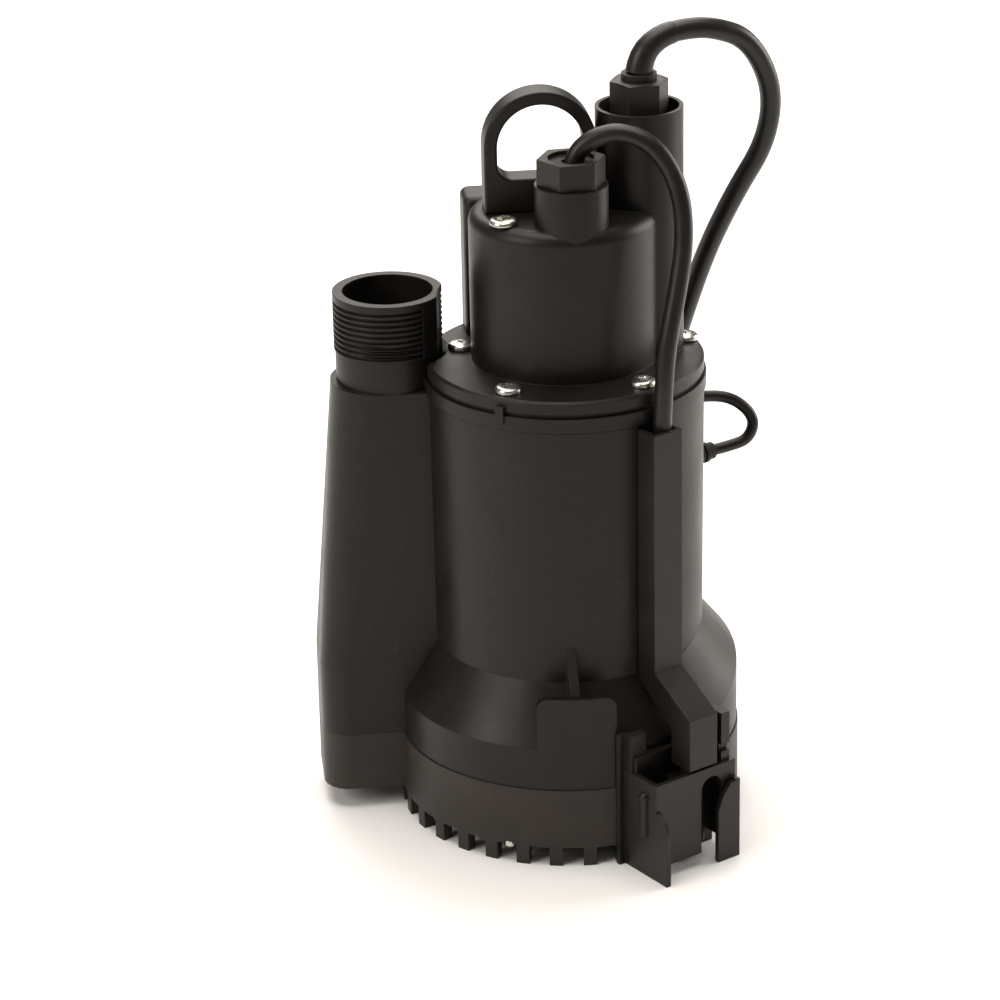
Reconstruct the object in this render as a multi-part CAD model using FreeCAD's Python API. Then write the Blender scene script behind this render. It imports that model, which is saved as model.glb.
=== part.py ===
"""Submersible sump pump: every piece as its own solid, in millimetres.

Frame: +Z up along the motor shaft, origin on the shaft axis at floor level,
-X towards the discharge riser, -Y towards the side with the switch lead.
"""
import FreeCAD, Part
import math
import os
from FreeCAD import Vector as V

# ---- base and pump casing ---------------------------------------------------
BASE_R = 66.5            # strainer ring, outer radius
SEAM_Z = 32.0            # joint between the strainer base and the housing
TOOTH_COUNT = 32
TOOTH_SLOT_W = 7.9
TOOTH_SLOT_H = 7.6
TOOTH_PHASE = -0.7       # degrees
FLOOR_Z = 14.0           # underside of the volute floor
FLOOR_T = 3.0
EYE_R = 17.0             # suction eye
CHAMBER_R = 60.0         # pump chamber
BASE_SKIRT_IN_R = 62.0

# ---- housing ----------------------------------------------------------------
BAND_R = 66.0
BAND_TOP = 49.0
SHOULDER_TOP = 71.0
SCROLL_TILT, SCROLL_FACING, SCROLL_LIFT, SCROLL_PIVOT = 11.0, 60.0, 2.6, 60.0   # shoulder rises here
BARREL_R_LOW = 52.4
BARREL_R_TOP = 53.0
RIM_R = 53.8
RIM_Z = 172.0
HOUSING_TOP = 178.0
MOTOR_R = 48.0           # inside of the barrel
SEAL_PLATE_Z = 43.0
SEAL_PLATE_T = 7.0

# ---- discharge riser ----------------------------------------------------------
RISER_X, RISER_Y = -65.5, 15.0
RISER_BORE_R = 17.25
RISER_HALF = 21.0        # half the riser's front-to-back size
RISER_LEFT_LOW, RISER_LEFT_TOP = -97.5, -88.4
RISER_BEND_Z, RISER_TOP = 60.0, 173.5
RISER_CORNER_R = 10.5
RISER_TOP_CORNER_R = 20.0   # nearly round where the neck starts
RISER_FOOT_Z = 8.5
RISER_WALL = 4.0
NECK_R = 20.6
THREAD_R = 21.08         # 1 1/4 inch pipe thread
THREAD_PITCH = 2.21
THREAD_TURNS = 9
THREAD_DEPTH = 1.1
THREAD_Z = 186.06
THREAD_FIRST = 187.385     # first groove
THREAD_STARTS, THREAD_ARC = (-180, 0), 124   # degrees; smooth at the parting between the arcs
OUTLET_Z = 208.6

# ---- top cap ------------------------------------------------------------------
GASKET_T = 1.5
FLANGE_Z = HOUSING_TOP + GASKET_T
FLANGE_T = 5.0
DECK_Z = FLANGE_Z + FLANGE_T
FLANGE_R = 53.0
NOTCH_R = 22.6           # hollow in the flange round the riser's neck
DOME_R = 35.5
DOME_TOP = 243.0
DOME_WALL = 3.5
DOME_FILLET = 5.0
POWER_X, POWER_Y, POWER_R, POWER_TOP = 29.6, 4.0, 16.6, 279.5
POWER_POCKET_R, POWER_POCKET_Z = 15.0, 270.0
SWITCH_X, SWITCH_Y, SWITCH_R, SWITCH_TOP = 0.6, -21.5, 13.7, 258.5
BACK_BOX = (-34.8, 24.0, 18.0, 18.0, 240.0)   # x, y, width, depth, top
SCREW_SPOTS = [(-124.5, 45.5), (-57.5, 45.5), (9.5, 48.3),
               (60.0, 45.5), (112.0, 45.5), (163.0, 40.2)]
SCREW_R, SCREW_HEAD_R, SCREW_HEAD_H, SCREW_LEN = 2.0, 5.0, 2.6, 20.0
BOSS_R, BOSS_Z = 4.5, 160.0
LOCATOR_ANGLE = -123.7   # rib that sets the cap against the rim
OIL_PLUG_X, OIL_PLUG_Y, OIL_PLUG_R = -24.2, -17.8, 5.0

# ---- handle -------------------------------------------------------------------
GRIP_X, GRIP_TOP, GRIP_HALF_W = -8.5, 289.0, 21.2
GRIP_BAR, GRIP_DEPTH, GRIP_SILL = 5.0, 12.0, 256.0

# ---- cord glands and cords ------------------------------------------------------
POWER_NUT_AF, POWER_NUT_TOP = 19.4, 289.5
SWITCH_NUT_AF, SWITCH_NUT_TOP = 22.4, 268.5
POWER_CORD_R = 4.0
SWITCH_CORD_R = 3.5
LEAD_R = 2.3
LEAD_GLANDS = [(36.3, 148.0, 65.5), (28.4, 127.2, 71.0)]   # angle, height, outer end

# ---- put-away coil and plug: four layers of two turns -----------------------------
COIL_X, COIL_Y, COIL_R = 15.0, 136.0, 44.0
COIL_W, COIL_H, COIL_FOOT = 16.4, 32.4, 0.2
TIE_T, TIE_W = 1.2, 8.0
PLUG_X, PLUG_Y, PLUG_W, PLUG_L, PLUG_H = -75.0, 95.0, 26.0, 26.0, 27.6
BLADE_GAP, BLADE_L, BLADE_W, BLADE_T = 12.7, 16.0, 6.4, 1.5
EARTH_PIN_R, EARTH_PIN_L, EARTH_OFFSET = 2.4, 18.5, 11.9

# ---- sensor mounting, in a frame turned to its own direction ----------------------
SENSOR_DIR = -60.0       # degrees about the shaft
CHANNEL_HALF_W = 6.6
CHANNEL_WALL = 1.7
CHANNEL_TOP = 171.0
CHANNEL_SIDE = [(52.0, CHANNEL_TOP), (62.6, CHANNEL_TOP), (62.6, 75.0), (83.6, 62.5),
                (83.6, 41.5), (72.6, 41.5), (72.6, 55.5), (61.0, 63.5), (52.0, 70.0)]
CHANNEL_HOLLOW = [(51.0, CHANNEL_TOP + 1.0), (60.9, CHANNEL_TOP + 1.0), (60.9, 74.1),
                  (81.9, 61.6), (81.9, 40.0), (74.3, 40.0), (74.3, 56.4), (62.0, 64.9), (51.0, 72.6)]

# ---- motor ----------------------------------------------------------------------
SHAFT_R = 4.0
ROTOR_R, STATOR_IN_R, STATOR_R = 24.0, 24.6, 47.9
STACK_Z, STACK_TOP = 82.0, 132.0
BEARING_OUT_R, BEARING_T = 11.0, 7.0
LOWER_BEARING_Z, UPPER_BEARING_Z = 56.0, 152.0
IMPELLER_R = 44.0

# ---- sensor holder ---------------------------------------------------------------
# in its own axes: out from the shaft, across, up; boxes as x0, x1, y0, y1, z0, z1
HOLDER_SHEET = 2.0
HOLDER_BACK = (58, 69.5, -21, 16, 0.0, 46)
HOLDER_LEFT = (56, 64.0, -25, -20, 0.0, 55)
HOLDER_RIB = (58, 68, -22, -15, 0.0, 55)
HOLDER_FRONT = (81, 83, -21.4, 16, 5, 40)
HOLDER_RIGHT = (64, 86, 14, 16, 5, 33)
HOLDER_BRIDGE = (68, 83, 12.0, 16, 30, 40)
HOLDER_POST = (68, 81.5, 10.4, 14.4, 30, 60)
HOLDER_POST_NOTCH = (80, 90, 10, 15, 44, 47)
HOLDER_ARCH = (78, 85, -0.4, 9.6, -1, 31)
ARCH_R, ARCH_Y, ARCH_Z = 5.0, 4.6, 31.0
HOLDER_FIN = [(60, 0), (89.3, 0), (89.3, 22), (88, 26.5), (84, 29), (83, 29), (83, 40), (60, 40)]
HOLDER_FIN_Y = -21.4
HOLDER_TAB = [(5.6, 0), (16, 0), (16, 33), (11.5, 32), (8.0, 28.0), (5.6, 22)]
HOLDER_TAB_X = 84.0
CLIP_R, CLIP_L, CLIP_KNOB_R = 1.7, 16.0, 2.1
CLIP_X, CLIP_Y, CLIP_Z = 76.0, -22.6, 17.0
SENSOR_BODY = (69.9, 77.4, -8.0, 6.6, 2.0, 6.0, 35.5)      # x0, x1, y0, y1, corner, z0, z1
SENSOR_STEM = (74.6, 80.8, -4.6, 4.6, 1.5, 35.5, 42.0)
PROBE_R, PROBE_L, PROBE_X, PROBE_Z = 1.6, 5.0, 73.6, 1.0
PROBE_Y = (-4.5, 3.0)

# ---- pump end and electrics -------------------------------------------------------
SHAFT_Z, SHAFT_TOP = 22.0, 164.0
STUB_R, STUB_Z = 3.0, 17.6
SHAFT_GAP = 1.0            # round the shaft where it passes a plate
SEAL_GAP = 0.8
SEAL_RUN = 0.05            # running film between the two seal faces
SEAL_HUB_R = 16.0
SEAT_R, SEAT_T = 9.0, 5.0
SEAL_RING_R, SEAL_RING_T = 8.0, 3.0
SPRING_R, SPRING_L = 6.5, 6.0
RACE_IN_R, INNER_RACE_R = 8.6, 6.5
BALLS, BALL_R, BALL_RING_R = 8, 1.85, 7.55
PLATE_HUB_R = 15.0
PLATE_HOLE_R, PLATE_HOLE_RING = 7.0, 34.0
END_RING_R, END_RING_IN_R, END_RING_T = 23.0, 14.0, 5.0
SLOTS = 24
SLOT_IN_R, SLOT_OUT_R, SLOT_HALF_W = 26.0, 37.0, 2.2
MOUTH_HALF_W = 0.8
WINDING_R, WINDING_IN_R, WINDING_ROUND = 40.0, 26.5, 3.0
WINDING_FOOT, WINDING_TOP = 68.0, 146.0
SHROUD_Z, SHROUD_T = 28.0, 2.5
HUB_R = 9.0
VANES, VANE_R, VANE_T = 6, 32.0, 1.8
VANE_Y, VANE_Z, VANE_IN_R = 24.0, 19.8, 11.0
NUT_FLATS, NUT_H, NUT_Z = 11.0, 4.5, 17.3
CAN_R, CAN_H, CAN_ROUND = 12.5, 44.0, 1.5
CAN_X, CAN_Y, CAN_Z = -12.0, 13.5, 190.0
TERMINAL_X = (-17.0, -8.0)
TERMINAL_YZ = (10.5, 16.5, 184.5, 190.0)
BOARD_BOX = (-16.5, 8.5, -26.5, -24.9, 188.0, 226.0)
RELAY_BOX = (-14.0, 0.0, -24.9, -9.0, 196.0, 214.0)
PROTECTOR_BOX = (-8.0, 8.0, 27.0, 36.0, 146.1, 149.9)


def cylinder(radius, height, x=0.0, y=0.0, z=0.0):
    return Part.makeCylinder(radius, height, V(x, y, z))


def ring(outer, inner, height, z, x=0.0, y=0.0):
    return cylinder(outer, height, x, y, z).cut(cylinder(inner, height, x, y, z))


def block(x0, x1, y0, y1, z0, z1):
    return Part.makeBox(x1 - x0, y1 - y0, z1 - z0, V(x0, y0, z0))


def turned(points):
    """A solid of revolution about Z from (radius, height) points."""
    corners = [V(r, 0, z) for r, z in points]
    face = Part.Face(Part.makePolygon(corners + corners[:1]))
    return face.revolve(V(0, 0, 0), V(0, 0, 1), 360)


def side_prism(points, half_width):
    """A prism with its outline in XZ, as wide as given along Y on both sides."""
    corners = [V(x, -half_width, z) for x, z in points]
    face = Part.Face(Part.makePolygon(corners + corners[:1]))
    return face.extrude(V(0, 2 * half_width, 0))


def rounded_outline(x0, x1, y0, y1, radius, z):
    """A closed wire: a rectangle with round corners, at one height."""
    edges = []
    spots = [(x1 - radius, y1 - radius, 0), (x0 + radius, y1 - radius, 90),
             (x0 + radius, y0 + radius, 180), (x1 - radius, y0 + radius, 270)]
    ends = []
    for cx, cy, start in spots:
        on_arc = [V(cx + radius * math.cos(math.radians(a)), cy + radius * math.sin(math.radians(a)), z)
                  for a in (start, start + 45, start + 90)]
        edges.append(Part.Arc(*on_arc).toShape())
        ends.append((on_arc[0], on_arc[2]))
    for here, there in zip(ends, ends[1:] + ends[:1]):
        edges.append(Part.LineSegment(here[1], there[0]).toShape())
    return Part.Wire(Part.__sortEdges__(edges))


def rounded_block(x0, x1, y0, y1, radius, z0, z1):
    return Part.Face(rounded_outline(x0, x1, y0, y1, radius, z0)).extrude(V(0, 0, z1 - z0))


def hexagon(across_flats, height, x, y, z, turn=0.0):
    far = across_flats / math.sqrt(3)
    corners = [V(x + far * math.cos(math.radians(turn + 60 * i)),
                 y + far * math.sin(math.radians(turn + 60 * i)), z) for i in range(6)]
    return Part.Face(Part.makePolygon(corners + corners[:1])).extrude(V(0, 0, height))


def polar(angle, radius):
    return radius * math.cos(math.radians(angle)), radius * math.sin(math.radians(angle))


def swung(shape, angle):
    """The shape turned about the shaft."""
    turned_shape = shape.copy()
    turned_shape.rotate(V(0, 0, 0), V(0, 0, 1), angle)
    return turned_shape


def swung_point(out, across, z):
    """A point given in the sensor mounting's own frame."""
    c, s = math.cos(math.radians(SENSOR_DIR)), math.sin(math.radians(SENSOR_DIR))
    return (c * out - s * across, s * out + c * across, z)


def union(shapes):
    return shapes[0].multiFuse(shapes[1:]).removeSplitter() if len(shapes) > 1 else shapes[0]


# ---- cords ------------------------------------------------------------------------

def cord(points, radius, name):
    """A round tube along straight runs joined by tangent arcs."""
    pts = [V(*p) for p in points]
    edges, here, tightest = [], pts[0], None
    for before, corner, after in zip(pts, pts[1:], pts[2:]):
        a, b = before - corner, after - corner
        run = min(a.Length, b.Length)
        a.normalize()
        b.normalize()
        half_turn = (math.pi - a.getAngle(b)) / 2
        cut = 0.45 * run
        bend_radius = cut / math.tan(half_turn)
        tightest = bend_radius if tightest is None else min(tightest, bend_radius)
        start, end = corner + a * cut, corner + b * cut
        middle_dir = (a + b)
        middle_dir.normalize()
        middle = corner + middle_dir * (bend_radius / math.cos(half_turn) - bend_radius)
        edges.append(Part.LineSegment(here, start).toShape())
        edges.append(Part.Arc(start, middle, end).toShape())
        here = end
    edges.append(Part.LineSegment(here, pts[-1]).toShape())
    path = Part.Wire(edges)
    section = Part.Wire(Part.Circle(pts[0], pts[1] - pts[0], radius).toShape())
    tube = path.makePipeShell([section], True, False)
    expected = math.pi * radius ** 2 * path.Length
    print(f"{name}: length {path.Length:.0f}, tightest arc {tightest:.1f} "
          f"({tightest / (2 * radius):.1f} diameters), volume ratio {tube.Volume / expected:.4f}")
    return tube


POWER_ROUTE = [(29.6, 4.0, 292.0), (30.5, 4.2, 298.6), (37.5, 5.8, 304.8), (47.0, 8.0, 306.6),
               (58.5, 10.8, 305.9), (73.0, 15.0, 299.5), (83.0, 19.0, 279.0), (81.0, 22.5, 257.0),
               (71.0, 30.0, 236.0), (62.0, 40.0, 211.0), (56.0, 51.0, 185.0), (50.0, 61.0, 157.0),
               (44.5, 69.0, 126.0), (43.5, 76.0, 96.0), (47.0, 84.5, 68.0), (53.0, 96.5, 45.0),
               (59.3, 111.0, 31.5), (61.4, 124.0, 28.4)]
TAIL_ROUTE = [(14.0, 184.0, 4.4), (-8.0, 184.0, 4.4), (-30.0, 178.5, 4.8), (-50.0, 166.0, 6.0),
              (-65.0, 148.0, 8.5), (-73.0, 129.0, 11.5), (-75.0, 108.3, 13.6)]
SWITCH_ROUTE = [(0.6, -21.5, 262.0), (1.4, -21.5, 269.0), (8.5, -22.3, 275.8), (19.5, -24.6, 278.6),
                (31.5, -29.0, 273.0), (39.2, -33.5, 258.5), (40.2, -38.0, 240.5), (36.6, -42.5, 221.5),
                (32.2, -46.8, 203.5), swung_point(57.9, 1.6, 186.0), swung_point(57.2, 1.2, 158.0),
                swung_point(57.0, 0.6, 127.0), swung_point(56.8, 0.0, 97.0), swung_point(56.8, 0.0, 79.0),
                swung_point(62.0, 0.0, 68.8), swung_point(73.0, 0.0, 61.6), swung_point(77.9, 0.0, 53.5),
                swung_point(77.9, 0.0, 42.0)]
LEAD_ROUTE = [(52.0, 38.2, 148.0), (63.0, 40.6, 148.2), (73.0, 39.2, 146.2), (80.3, 36.8, 138.7),
              (77.6, 35.0, 130.7), (70.0, 34.8, 128.3), (62.0, 33.5, 127.2), (54.5, 29.5, 127.2)]


# ---- base and pump casing ----------------------------------------------------------

def strainer_base():
    skirt = ring(BASE_R, BASE_SKIRT_IN_R, FLOOR_Z, 0)
    case = ring(BASE_R, CHAMBER_R, SEAM_Z - FLOOR_Z, FLOOR_Z)
    floor = ring(CHAMBER_R, EYE_R, FLOOR_T, FLOOR_Z)
    elbow = rounded_block(RISER_LEFT_LOW, -30, RISER_Y - RISER_HALF, RISER_Y + RISER_HALF,
                          RISER_CORNER_R, RISER_FOOT_Z, SEAM_Z)
    outside = cylinder(BASE_R - 1.0, SEAM_Z)
    body = union([skirt, case, floor, elbow.cut(outside)])
    inner = RISER_HALF - RISER_WALL
    body = body.cut(rounded_block(RISER_LEFT_LOW + RISER_WALL, -38, RISER_Y - inner, RISER_Y + inner,
                                  RISER_CORNER_R - RISER_WALL, FLOOR_Z + FLOOR_T - 3.5, SEAM_Z + 1)
                    .cut(cylinder(CHAMBER_R, FLOOR_Z + FLOOR_T)))
    slots = []
    for i in range(TOOTH_COUNT):
        slot = block(56, BASE_R + 3, -TOOTH_SLOT_W / 2, TOOTH_SLOT_W / 2, -1, TOOTH_SLOT_H)
        slots.append(swung(slot, TOOTH_PHASE + (i + 0.5) * 360 / TOOTH_COUNT))
    body = body.cut(Part.makeCompound(slots))
    body = body.cut(ring(61.8, 60.6, 1.6, SEAM_Z - 1.6))
    for x, y in base_screw_spots():
        body = body.cut(cylinder(1.6, SEAM_Z, x, y)).cut(cylinder(2.9, 9.0, x, y, -0.5))
    return body


def base_screw_spots():
    return [polar(a, 64.0) for a in (-118.1, -28.1, 50.6, 129.4)]


def base_screws():
    screws = []
    for x, y in base_screw_spots():
        screws.append(cylinder(2.6, 2.0, x, y, 6.5).fuse(cylinder(1.6, 35.0, x, y, 8.5)).removeSplitter())
    return Part.makeCompound(screws)


def case_seal():
    return ring(61.8, 60.6, 1.6, SEAM_Z - 1.6)


def riser_shell():
    y0, y1 = RISER_Y - RISER_HALF, RISER_Y + RISER_HALF
    right = -30.0
    foot = rounded_block(RISER_LEFT_LOW, right, y0, y1, RISER_CORNER_R, SEAM_Z, RISER_BEND_Z)
    low = rounded_outline(RISER_LEFT_LOW, right, y0, y1, RISER_CORNER_R, RISER_BEND_Z)
    high = rounded_outline(RISER_LEFT_TOP, right, y0, y1, RISER_TOP_CORNER_R, RISER_TOP)
    column = Part.makeLoft([low, high], True, True)
    return foot.fuse(column).cut(cylinder(MOTOR_R, 200)).removeSplitter()


def riser_neck():
    neck = cylinder(NECK_R, OUTLET_Z - RISER_TOP + 2, RISER_X, RISER_Y, RISER_TOP - 2)
    thread = cylinder(THREAD_R, OUTLET_Z - THREAD_Z, RISER_X, RISER_Y, THREAD_Z)
    return neck.fuse(thread)


def thread_grooves():
    """V grooves on the front and the back of the neck; the parting sides stay smooth."""
    grooves = []
    half = 0.4 * THREAD_PITCH
    for i in range(THREAD_TURNS):
        z = THREAD_FIRST + THREAD_PITCH * i
        corners = [V(THREAD_R - THREAD_DEPTH, 0, z), V(THREAD_R + 0.5, 0, z - half - 0.3),
                   V(THREAD_R + 0.5, 0, z + half + 0.3)]
        face = Part.Face(Part.makePolygon(corners + corners[:1]))
        for start in THREAD_STARTS:
            cut = face.copy()
            cut.rotate(V(0, 0, 0), V(0, 0, 1), start)
            groove = cut.revolve(V(0, 0, 0), V(0, 0, 1), THREAD_ARC)
            groove.translate(V(RISER_X, RISER_Y, 0))
            grooves.append(groove)
    return Part.makeCompound(grooves)


def screw_boss(angle, radius):
    x, y = polar(angle, radius)
    web = block(radius, MOTOR_R + 2, -3.5, 3.5, BOSS_Z, HOUSING_TOP)
    return cylinder(BOSS_R, HOUSING_TOP - BOSS_Z, x, y, BOSS_Z).fuse(swung(web, angle))


def rising_shoulder():
    """The casing's shoulder, climbing with the scroll towards the back on the right."""
    fall = (BAND_R - BARREL_R_LOW) / (SHOULDER_TOP - BAND_TOP)
    foot = SEAM_Z - 12
    cone = turned([(0, foot), (BAND_R + fall * (BAND_TOP - foot), foot), (BARREL_R_LOW, SHOULDER_TOP),
                   (0, SHOULDER_TOP)])
    s, c = math.sin(math.radians(SCROLL_FACING)), math.cos(math.radians(SCROLL_FACING))
    cone.rotate(V(0, 0, SCROLL_PIVOT), V(s, -c, 0), SCROLL_TILT)
    cone.translate(V(0, 0, SCROLL_LIFT))
    return cone.common(cylinder(BAND_R, 100, z=SEAM_Z))


def front_tab():
    """Stop plate on the casing band, with a gusset back to the barrel."""
    plate = ring(BAND_R, BAND_R - 2.6, 22, BAND_TOP - 1)
    window = Part.Face(rounded_outline(-20.2, 10.0, BAND_TOP - 12, 70.0, 4.5, 0)).extrude(V(0, 0, 40))
    window.rotate(V(0, 0, 0), V(1, 0, 0), 90)
    window.translate(V(0, -40, 0))
    gusset = block(-7.4, -3.7, -(BAND_R - 2), -50, BAND_TOP, 86)
    corners = [V(-8, -BAND_R - 1, 67.5), V(-8, -51.5, 86.1), V(-8, -BAND_R - 1, 90)]
    slope = Part.Face(Part.makePolygon(corners + corners[:1])).extrude(V(6, 0, 0))
    return plate.common(window).fuse(gusset.cut(slope))


def pump_housing():
    outside = turned([(0, SEAM_Z), (BAND_R, SEAM_Z), (BAND_R, BAND_TOP), (BARREL_R_LOW, SHOULDER_TOP),
                      (BARREL_R_TOP, RIM_Z), (RIM_R, RIM_Z + 0.6), (RIM_R, HOUSING_TOP), (0, HOUSING_TOP)])
    locator = swung(block(FLANGE_R + 0.1, RIM_R + 0.9, -1.7, 1.7, RIM_Z + 3, DECK_Z - 3), LOCATOR_ANGLE)
    body = union([outside, rising_shoulder(), riser_shell(), riser_neck(), front_tab(), locator])
    body = body.cut(cylinder(MOTOR_R, HOUSING_TOP, z=SEAL_PLATE_Z))
    chamber = cylinder(CHAMBER_R, SEAL_PLATE_Z - SEAM_Z + 1, z=SEAM_Z - 1)
    relief = turned([(MOTOR_R + 4, SEAL_PLATE_Z - 1), (CHAMBER_R, SEAL_PLATE_Z - 1),
                     (CHAMBER_R, 50.5), (MOTOR_R + 4, 63.0)])
    inner = RISER_HALF - RISER_WALL
    low = rounded_block(RISER_LEFT_LOW + RISER_WALL, -40, RISER_Y - inner, RISER_Y + inner,
                        RISER_CORNER_R - RISER_WALL, SEAM_Z - 1, SEAL_PLATE_Z)
    high = rounded_block(RISER_LEFT_LOW + RISER_WALL, -52.5, RISER_Y - inner, RISER_Y + inner,
                         RISER_CORNER_R - RISER_WALL, SEAL_PLATE_Z, RISER_BEND_Z - 4)
    bore = cylinder(RISER_BORE_R, OUTLET_Z, RISER_X, RISER_Y, RISER_BEND_Z - 5)
    body = body.cut(union([chamber, low])).cut(relief).cut(high).cut(bore).cut(thread_grooves())
    body = union([body] + [screw_boss(a, r) for a, r in SCREW_SPOTS])
    body = body.cut(cylinder(RISER_BORE_R, OUTLET_Z, RISER_X, RISER_Y, RISER_BEND_Z - 5))
    for a, r in SCREW_SPOTS:
        x, y = polar(a, r)
        body = body.cut(cylinder(SCREW_R, 40, x, y, DECK_Z - SCREW_LEN))
    for x, y in base_screw_spots():
        body = body.cut(cylinder(1.6, 20, x, y, 23.5))
    for angle, z, _ in LEAD_GLANDS:
        body = body.cut(radial_pin(angle, z, 2.9, 44, 60))
    return body


def radial_pin(angle, z, radius, start, end):
    c, s = polar(angle, 1.0)
    return Part.makeCylinder(radius, end - start, V(c * start, s * start, z), V(c, s, 0))


# ---- top cap ----------------------------------------------------------------------

def cap_gasket():
    body = ring(52.2, 37.0, GASKET_T, HOUSING_TOP)
    body = body.cut(cylinder(NOTCH_R, 10, RISER_X, RISER_Y, HOUSING_TOP - 5))
    for a, r in SCREW_SPOTS:
        x, y = polar(a, r)
        body = body.cut(cylinder(SCREW_R + 0.2, 10, x, y, HOUSING_TOP - 5))
    return body


def top_cap():
    flange = cylinder(FLANGE_R, FLANGE_T, z=FLANGE_Z)
    flange = flange.makeChamfer(0.9, [e for e in flange.Edges if abs(e.CenterOfMass.z - DECK_Z) < 0.1
                                      and e.Length > 100])
    flange = flange.cut(cylinder(NOTCH_R, 20, RISER_X, RISER_Y, FLANGE_Z - 5))
    dome = cylinder(DOME_R, DOME_TOP - FLANGE_Z, z=FLANGE_Z)
    dome = dome.makeFillet(DOME_FILLET, [e for e in dome.Edges if abs(e.CenterOfMass.z - DOME_TOP) < 0.1])
    power = cylinder(POWER_R, POWER_TOP - FLANGE_Z, POWER_X, POWER_Y, FLANGE_Z)
    switch = cylinder(SWITCH_R, SWITCH_TOP - DECK_Z - 10, SWITCH_X, SWITCH_Y, DECK_Z + 10)
    bx, by, bw, bd, btop = BACK_BOX
    box = rounded_block(bx, bx + bw, by, by + bd, 3.5, FLANGE_Z, btop)
    box = box.makeFillet(3.0, [e for e in box.Edges if e.CenterOfMass.z > btop - 0.1])
    body = union([flange, dome, power, switch, box])
    inside = cylinder(DOME_R - DOME_WALL, DOME_TOP - DOME_WALL - FLANGE_Z + 1, z=FLANGE_Z - 1)
    shaft = cylinder(13.0, 80, POWER_X, POWER_Y, FLANGE_Z - 1)
    pocket = cylinder(POWER_POCKET_R, 20, POWER_X, POWER_Y, POWER_POCKET_Z)
    power_hole = cylinder(POWER_CORD_R + 0.2, 40, POWER_X, POWER_Y, FLANGE_Z + 70)
    switch_hole = cylinder(SWITCH_CORD_R + 0.2, 60, SWITCH_X, SWITCH_Y, DOME_TOP - 20)
    back = rounded_block(bx + 3, bx + bw - 3, by + 3, by + bd - 3, 1.5, FLANGE_Z - 1, btop - 4)
    body = body.cut(inside).cut(shaft).cut(pocket).cut(power_hole).cut(switch_hole).cut(back)
    for a, r in SCREW_SPOTS:
        x, y = polar(a, r)
        body = body.cut(cylinder(SCREW_R + 0.2, 20, x, y, FLANGE_Z - 5))
        body = body.cut(cylinder(SCREW_HEAD_R + 0.3, 12, x, y, DECK_Z))
    return body.cut(cylinder(3.0, 20, OIL_PLUG_X, OIL_PLUG_Y, DOME_TOP - 15))


def pan_head(radius, height, x, y, z):
    """A low round head with a domed edge and a cross recess."""
    head = cylinder(radius, height, x, y, z)
    rim = [e for e in head.Edges if abs(e.CenterOfMass.z - z - height) < 0.01]
    head = head.makeFillet(height * 0.55, rim)
    for turn in (0, 90):
        cross = block(-0.42 * radius, 0.42 * radius, -0.11 * radius, 0.11 * radius, z + 0.4 * height, z + 9)
        cross.rotate(V(0, 0, 0), V(0, 0, 1), turn + 20)
        cross.translate(V(x, y, 0))
        head = head.cut(cross)
    return head


def flange_screws():
    screws = []
    for a, r in SCREW_SPOTS:
        x, y = polar(a, r)
        shank = cylinder(SCREW_R, SCREW_LEN, x, y, DECK_Z - SCREW_LEN)
        screws.append(pan_head(SCREW_HEAD_R, SCREW_HEAD_H, x, y, DECK_Z).fuse(shank))
    return Part.makeCompound(screws)


def oil_plug():
    head = pan_head(OIL_PLUG_R, 2.4, OIL_PLUG_X, OIL_PLUG_Y, DOME_TOP)
    return head.fuse(cylinder(3.0, 10, OIL_PLUG_X, OIL_PLUG_Y, DOME_TOP - 10))


def arch_face(half_width, foot_z, corner_r, y):
    """A face in XZ: upright sides under a half round top, with round lower corners."""
    left, right = GRIP_X - half_width, GRIP_X + half_width
    spring_z = GRIP_TOP - GRIP_HALF_W
    mid = corner_r * (1 - math.sqrt(0.5))
    edges = [Part.Arc(V(left, y, spring_z), V(GRIP_X, y, spring_z + half_width), V(right, y, spring_z)),
             Part.LineSegment(V(right, y, spring_z), V(right, y, foot_z + corner_r)),
             Part.Arc(V(right, y, foot_z + corner_r), V(right - mid, y, foot_z + mid),
                      V(right - corner_r, y, foot_z)),
             Part.LineSegment(V(right - corner_r, y, foot_z), V(left + corner_r, y, foot_z)),
             Part.Arc(V(left + corner_r, y, foot_z), V(left + mid, y, foot_z + mid),
                      V(left, y, foot_z + corner_r)),
             Part.LineSegment(V(left, y, foot_z + corner_r), V(left, y, spring_z))]
    return Part.Face(Part.Wire([e.toShape() for e in edges]))


def carry_handle():
    y0 = -GRIP_DEPTH / 2
    body = arch_face(GRIP_HALF_W, DOME_TOP, 0.6, y0).extrude(V(0, GRIP_DEPTH, 0))
    hole = arch_face(GRIP_HALF_W - GRIP_BAR, GRIP_SILL, 6.0, y0 - 1).extrude(V(0, GRIP_DEPTH + 2, 0))
    body = body.cut(hole)
    rims = [e for e in body.Edges if abs(abs(e.CenterOfMass.y) - GRIP_DEPTH / 2) < 0.01
            and e.CenterOfMass.z > DOME_TOP + 0.7]
    body = body.makeFillet(1.0, rims)
    return body.cut(cylinder(POWER_R, 60, POWER_X, POWER_Y, DOME_TOP - 10)).cut(
        cylinder(SWITCH_R, 60, SWITCH_X, SWITCH_Y, DOME_TOP - 10))


# ---- cord glands ---------------------------------------------------------------------

def power_gland_nut():
    nut = hexagon(POWER_NUT_AF, POWER_NUT_TOP - POWER_POCKET_Z, POWER_X, POWER_Y, POWER_POCKET_Z, 4)
    cone = turned([(0, 0), (20, 0), (20, 17.0), (8.8, POWER_NUT_TOP - POWER_POCKET_Z), (0, 19.5)])
    cone.translate(V(POWER_X, POWER_Y, POWER_POCKET_Z))
    return nut.common(cone).cut(cylinder(5.6, 40, POWER_X, POWER_Y, POWER_POCKET_Z - 1))


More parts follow.
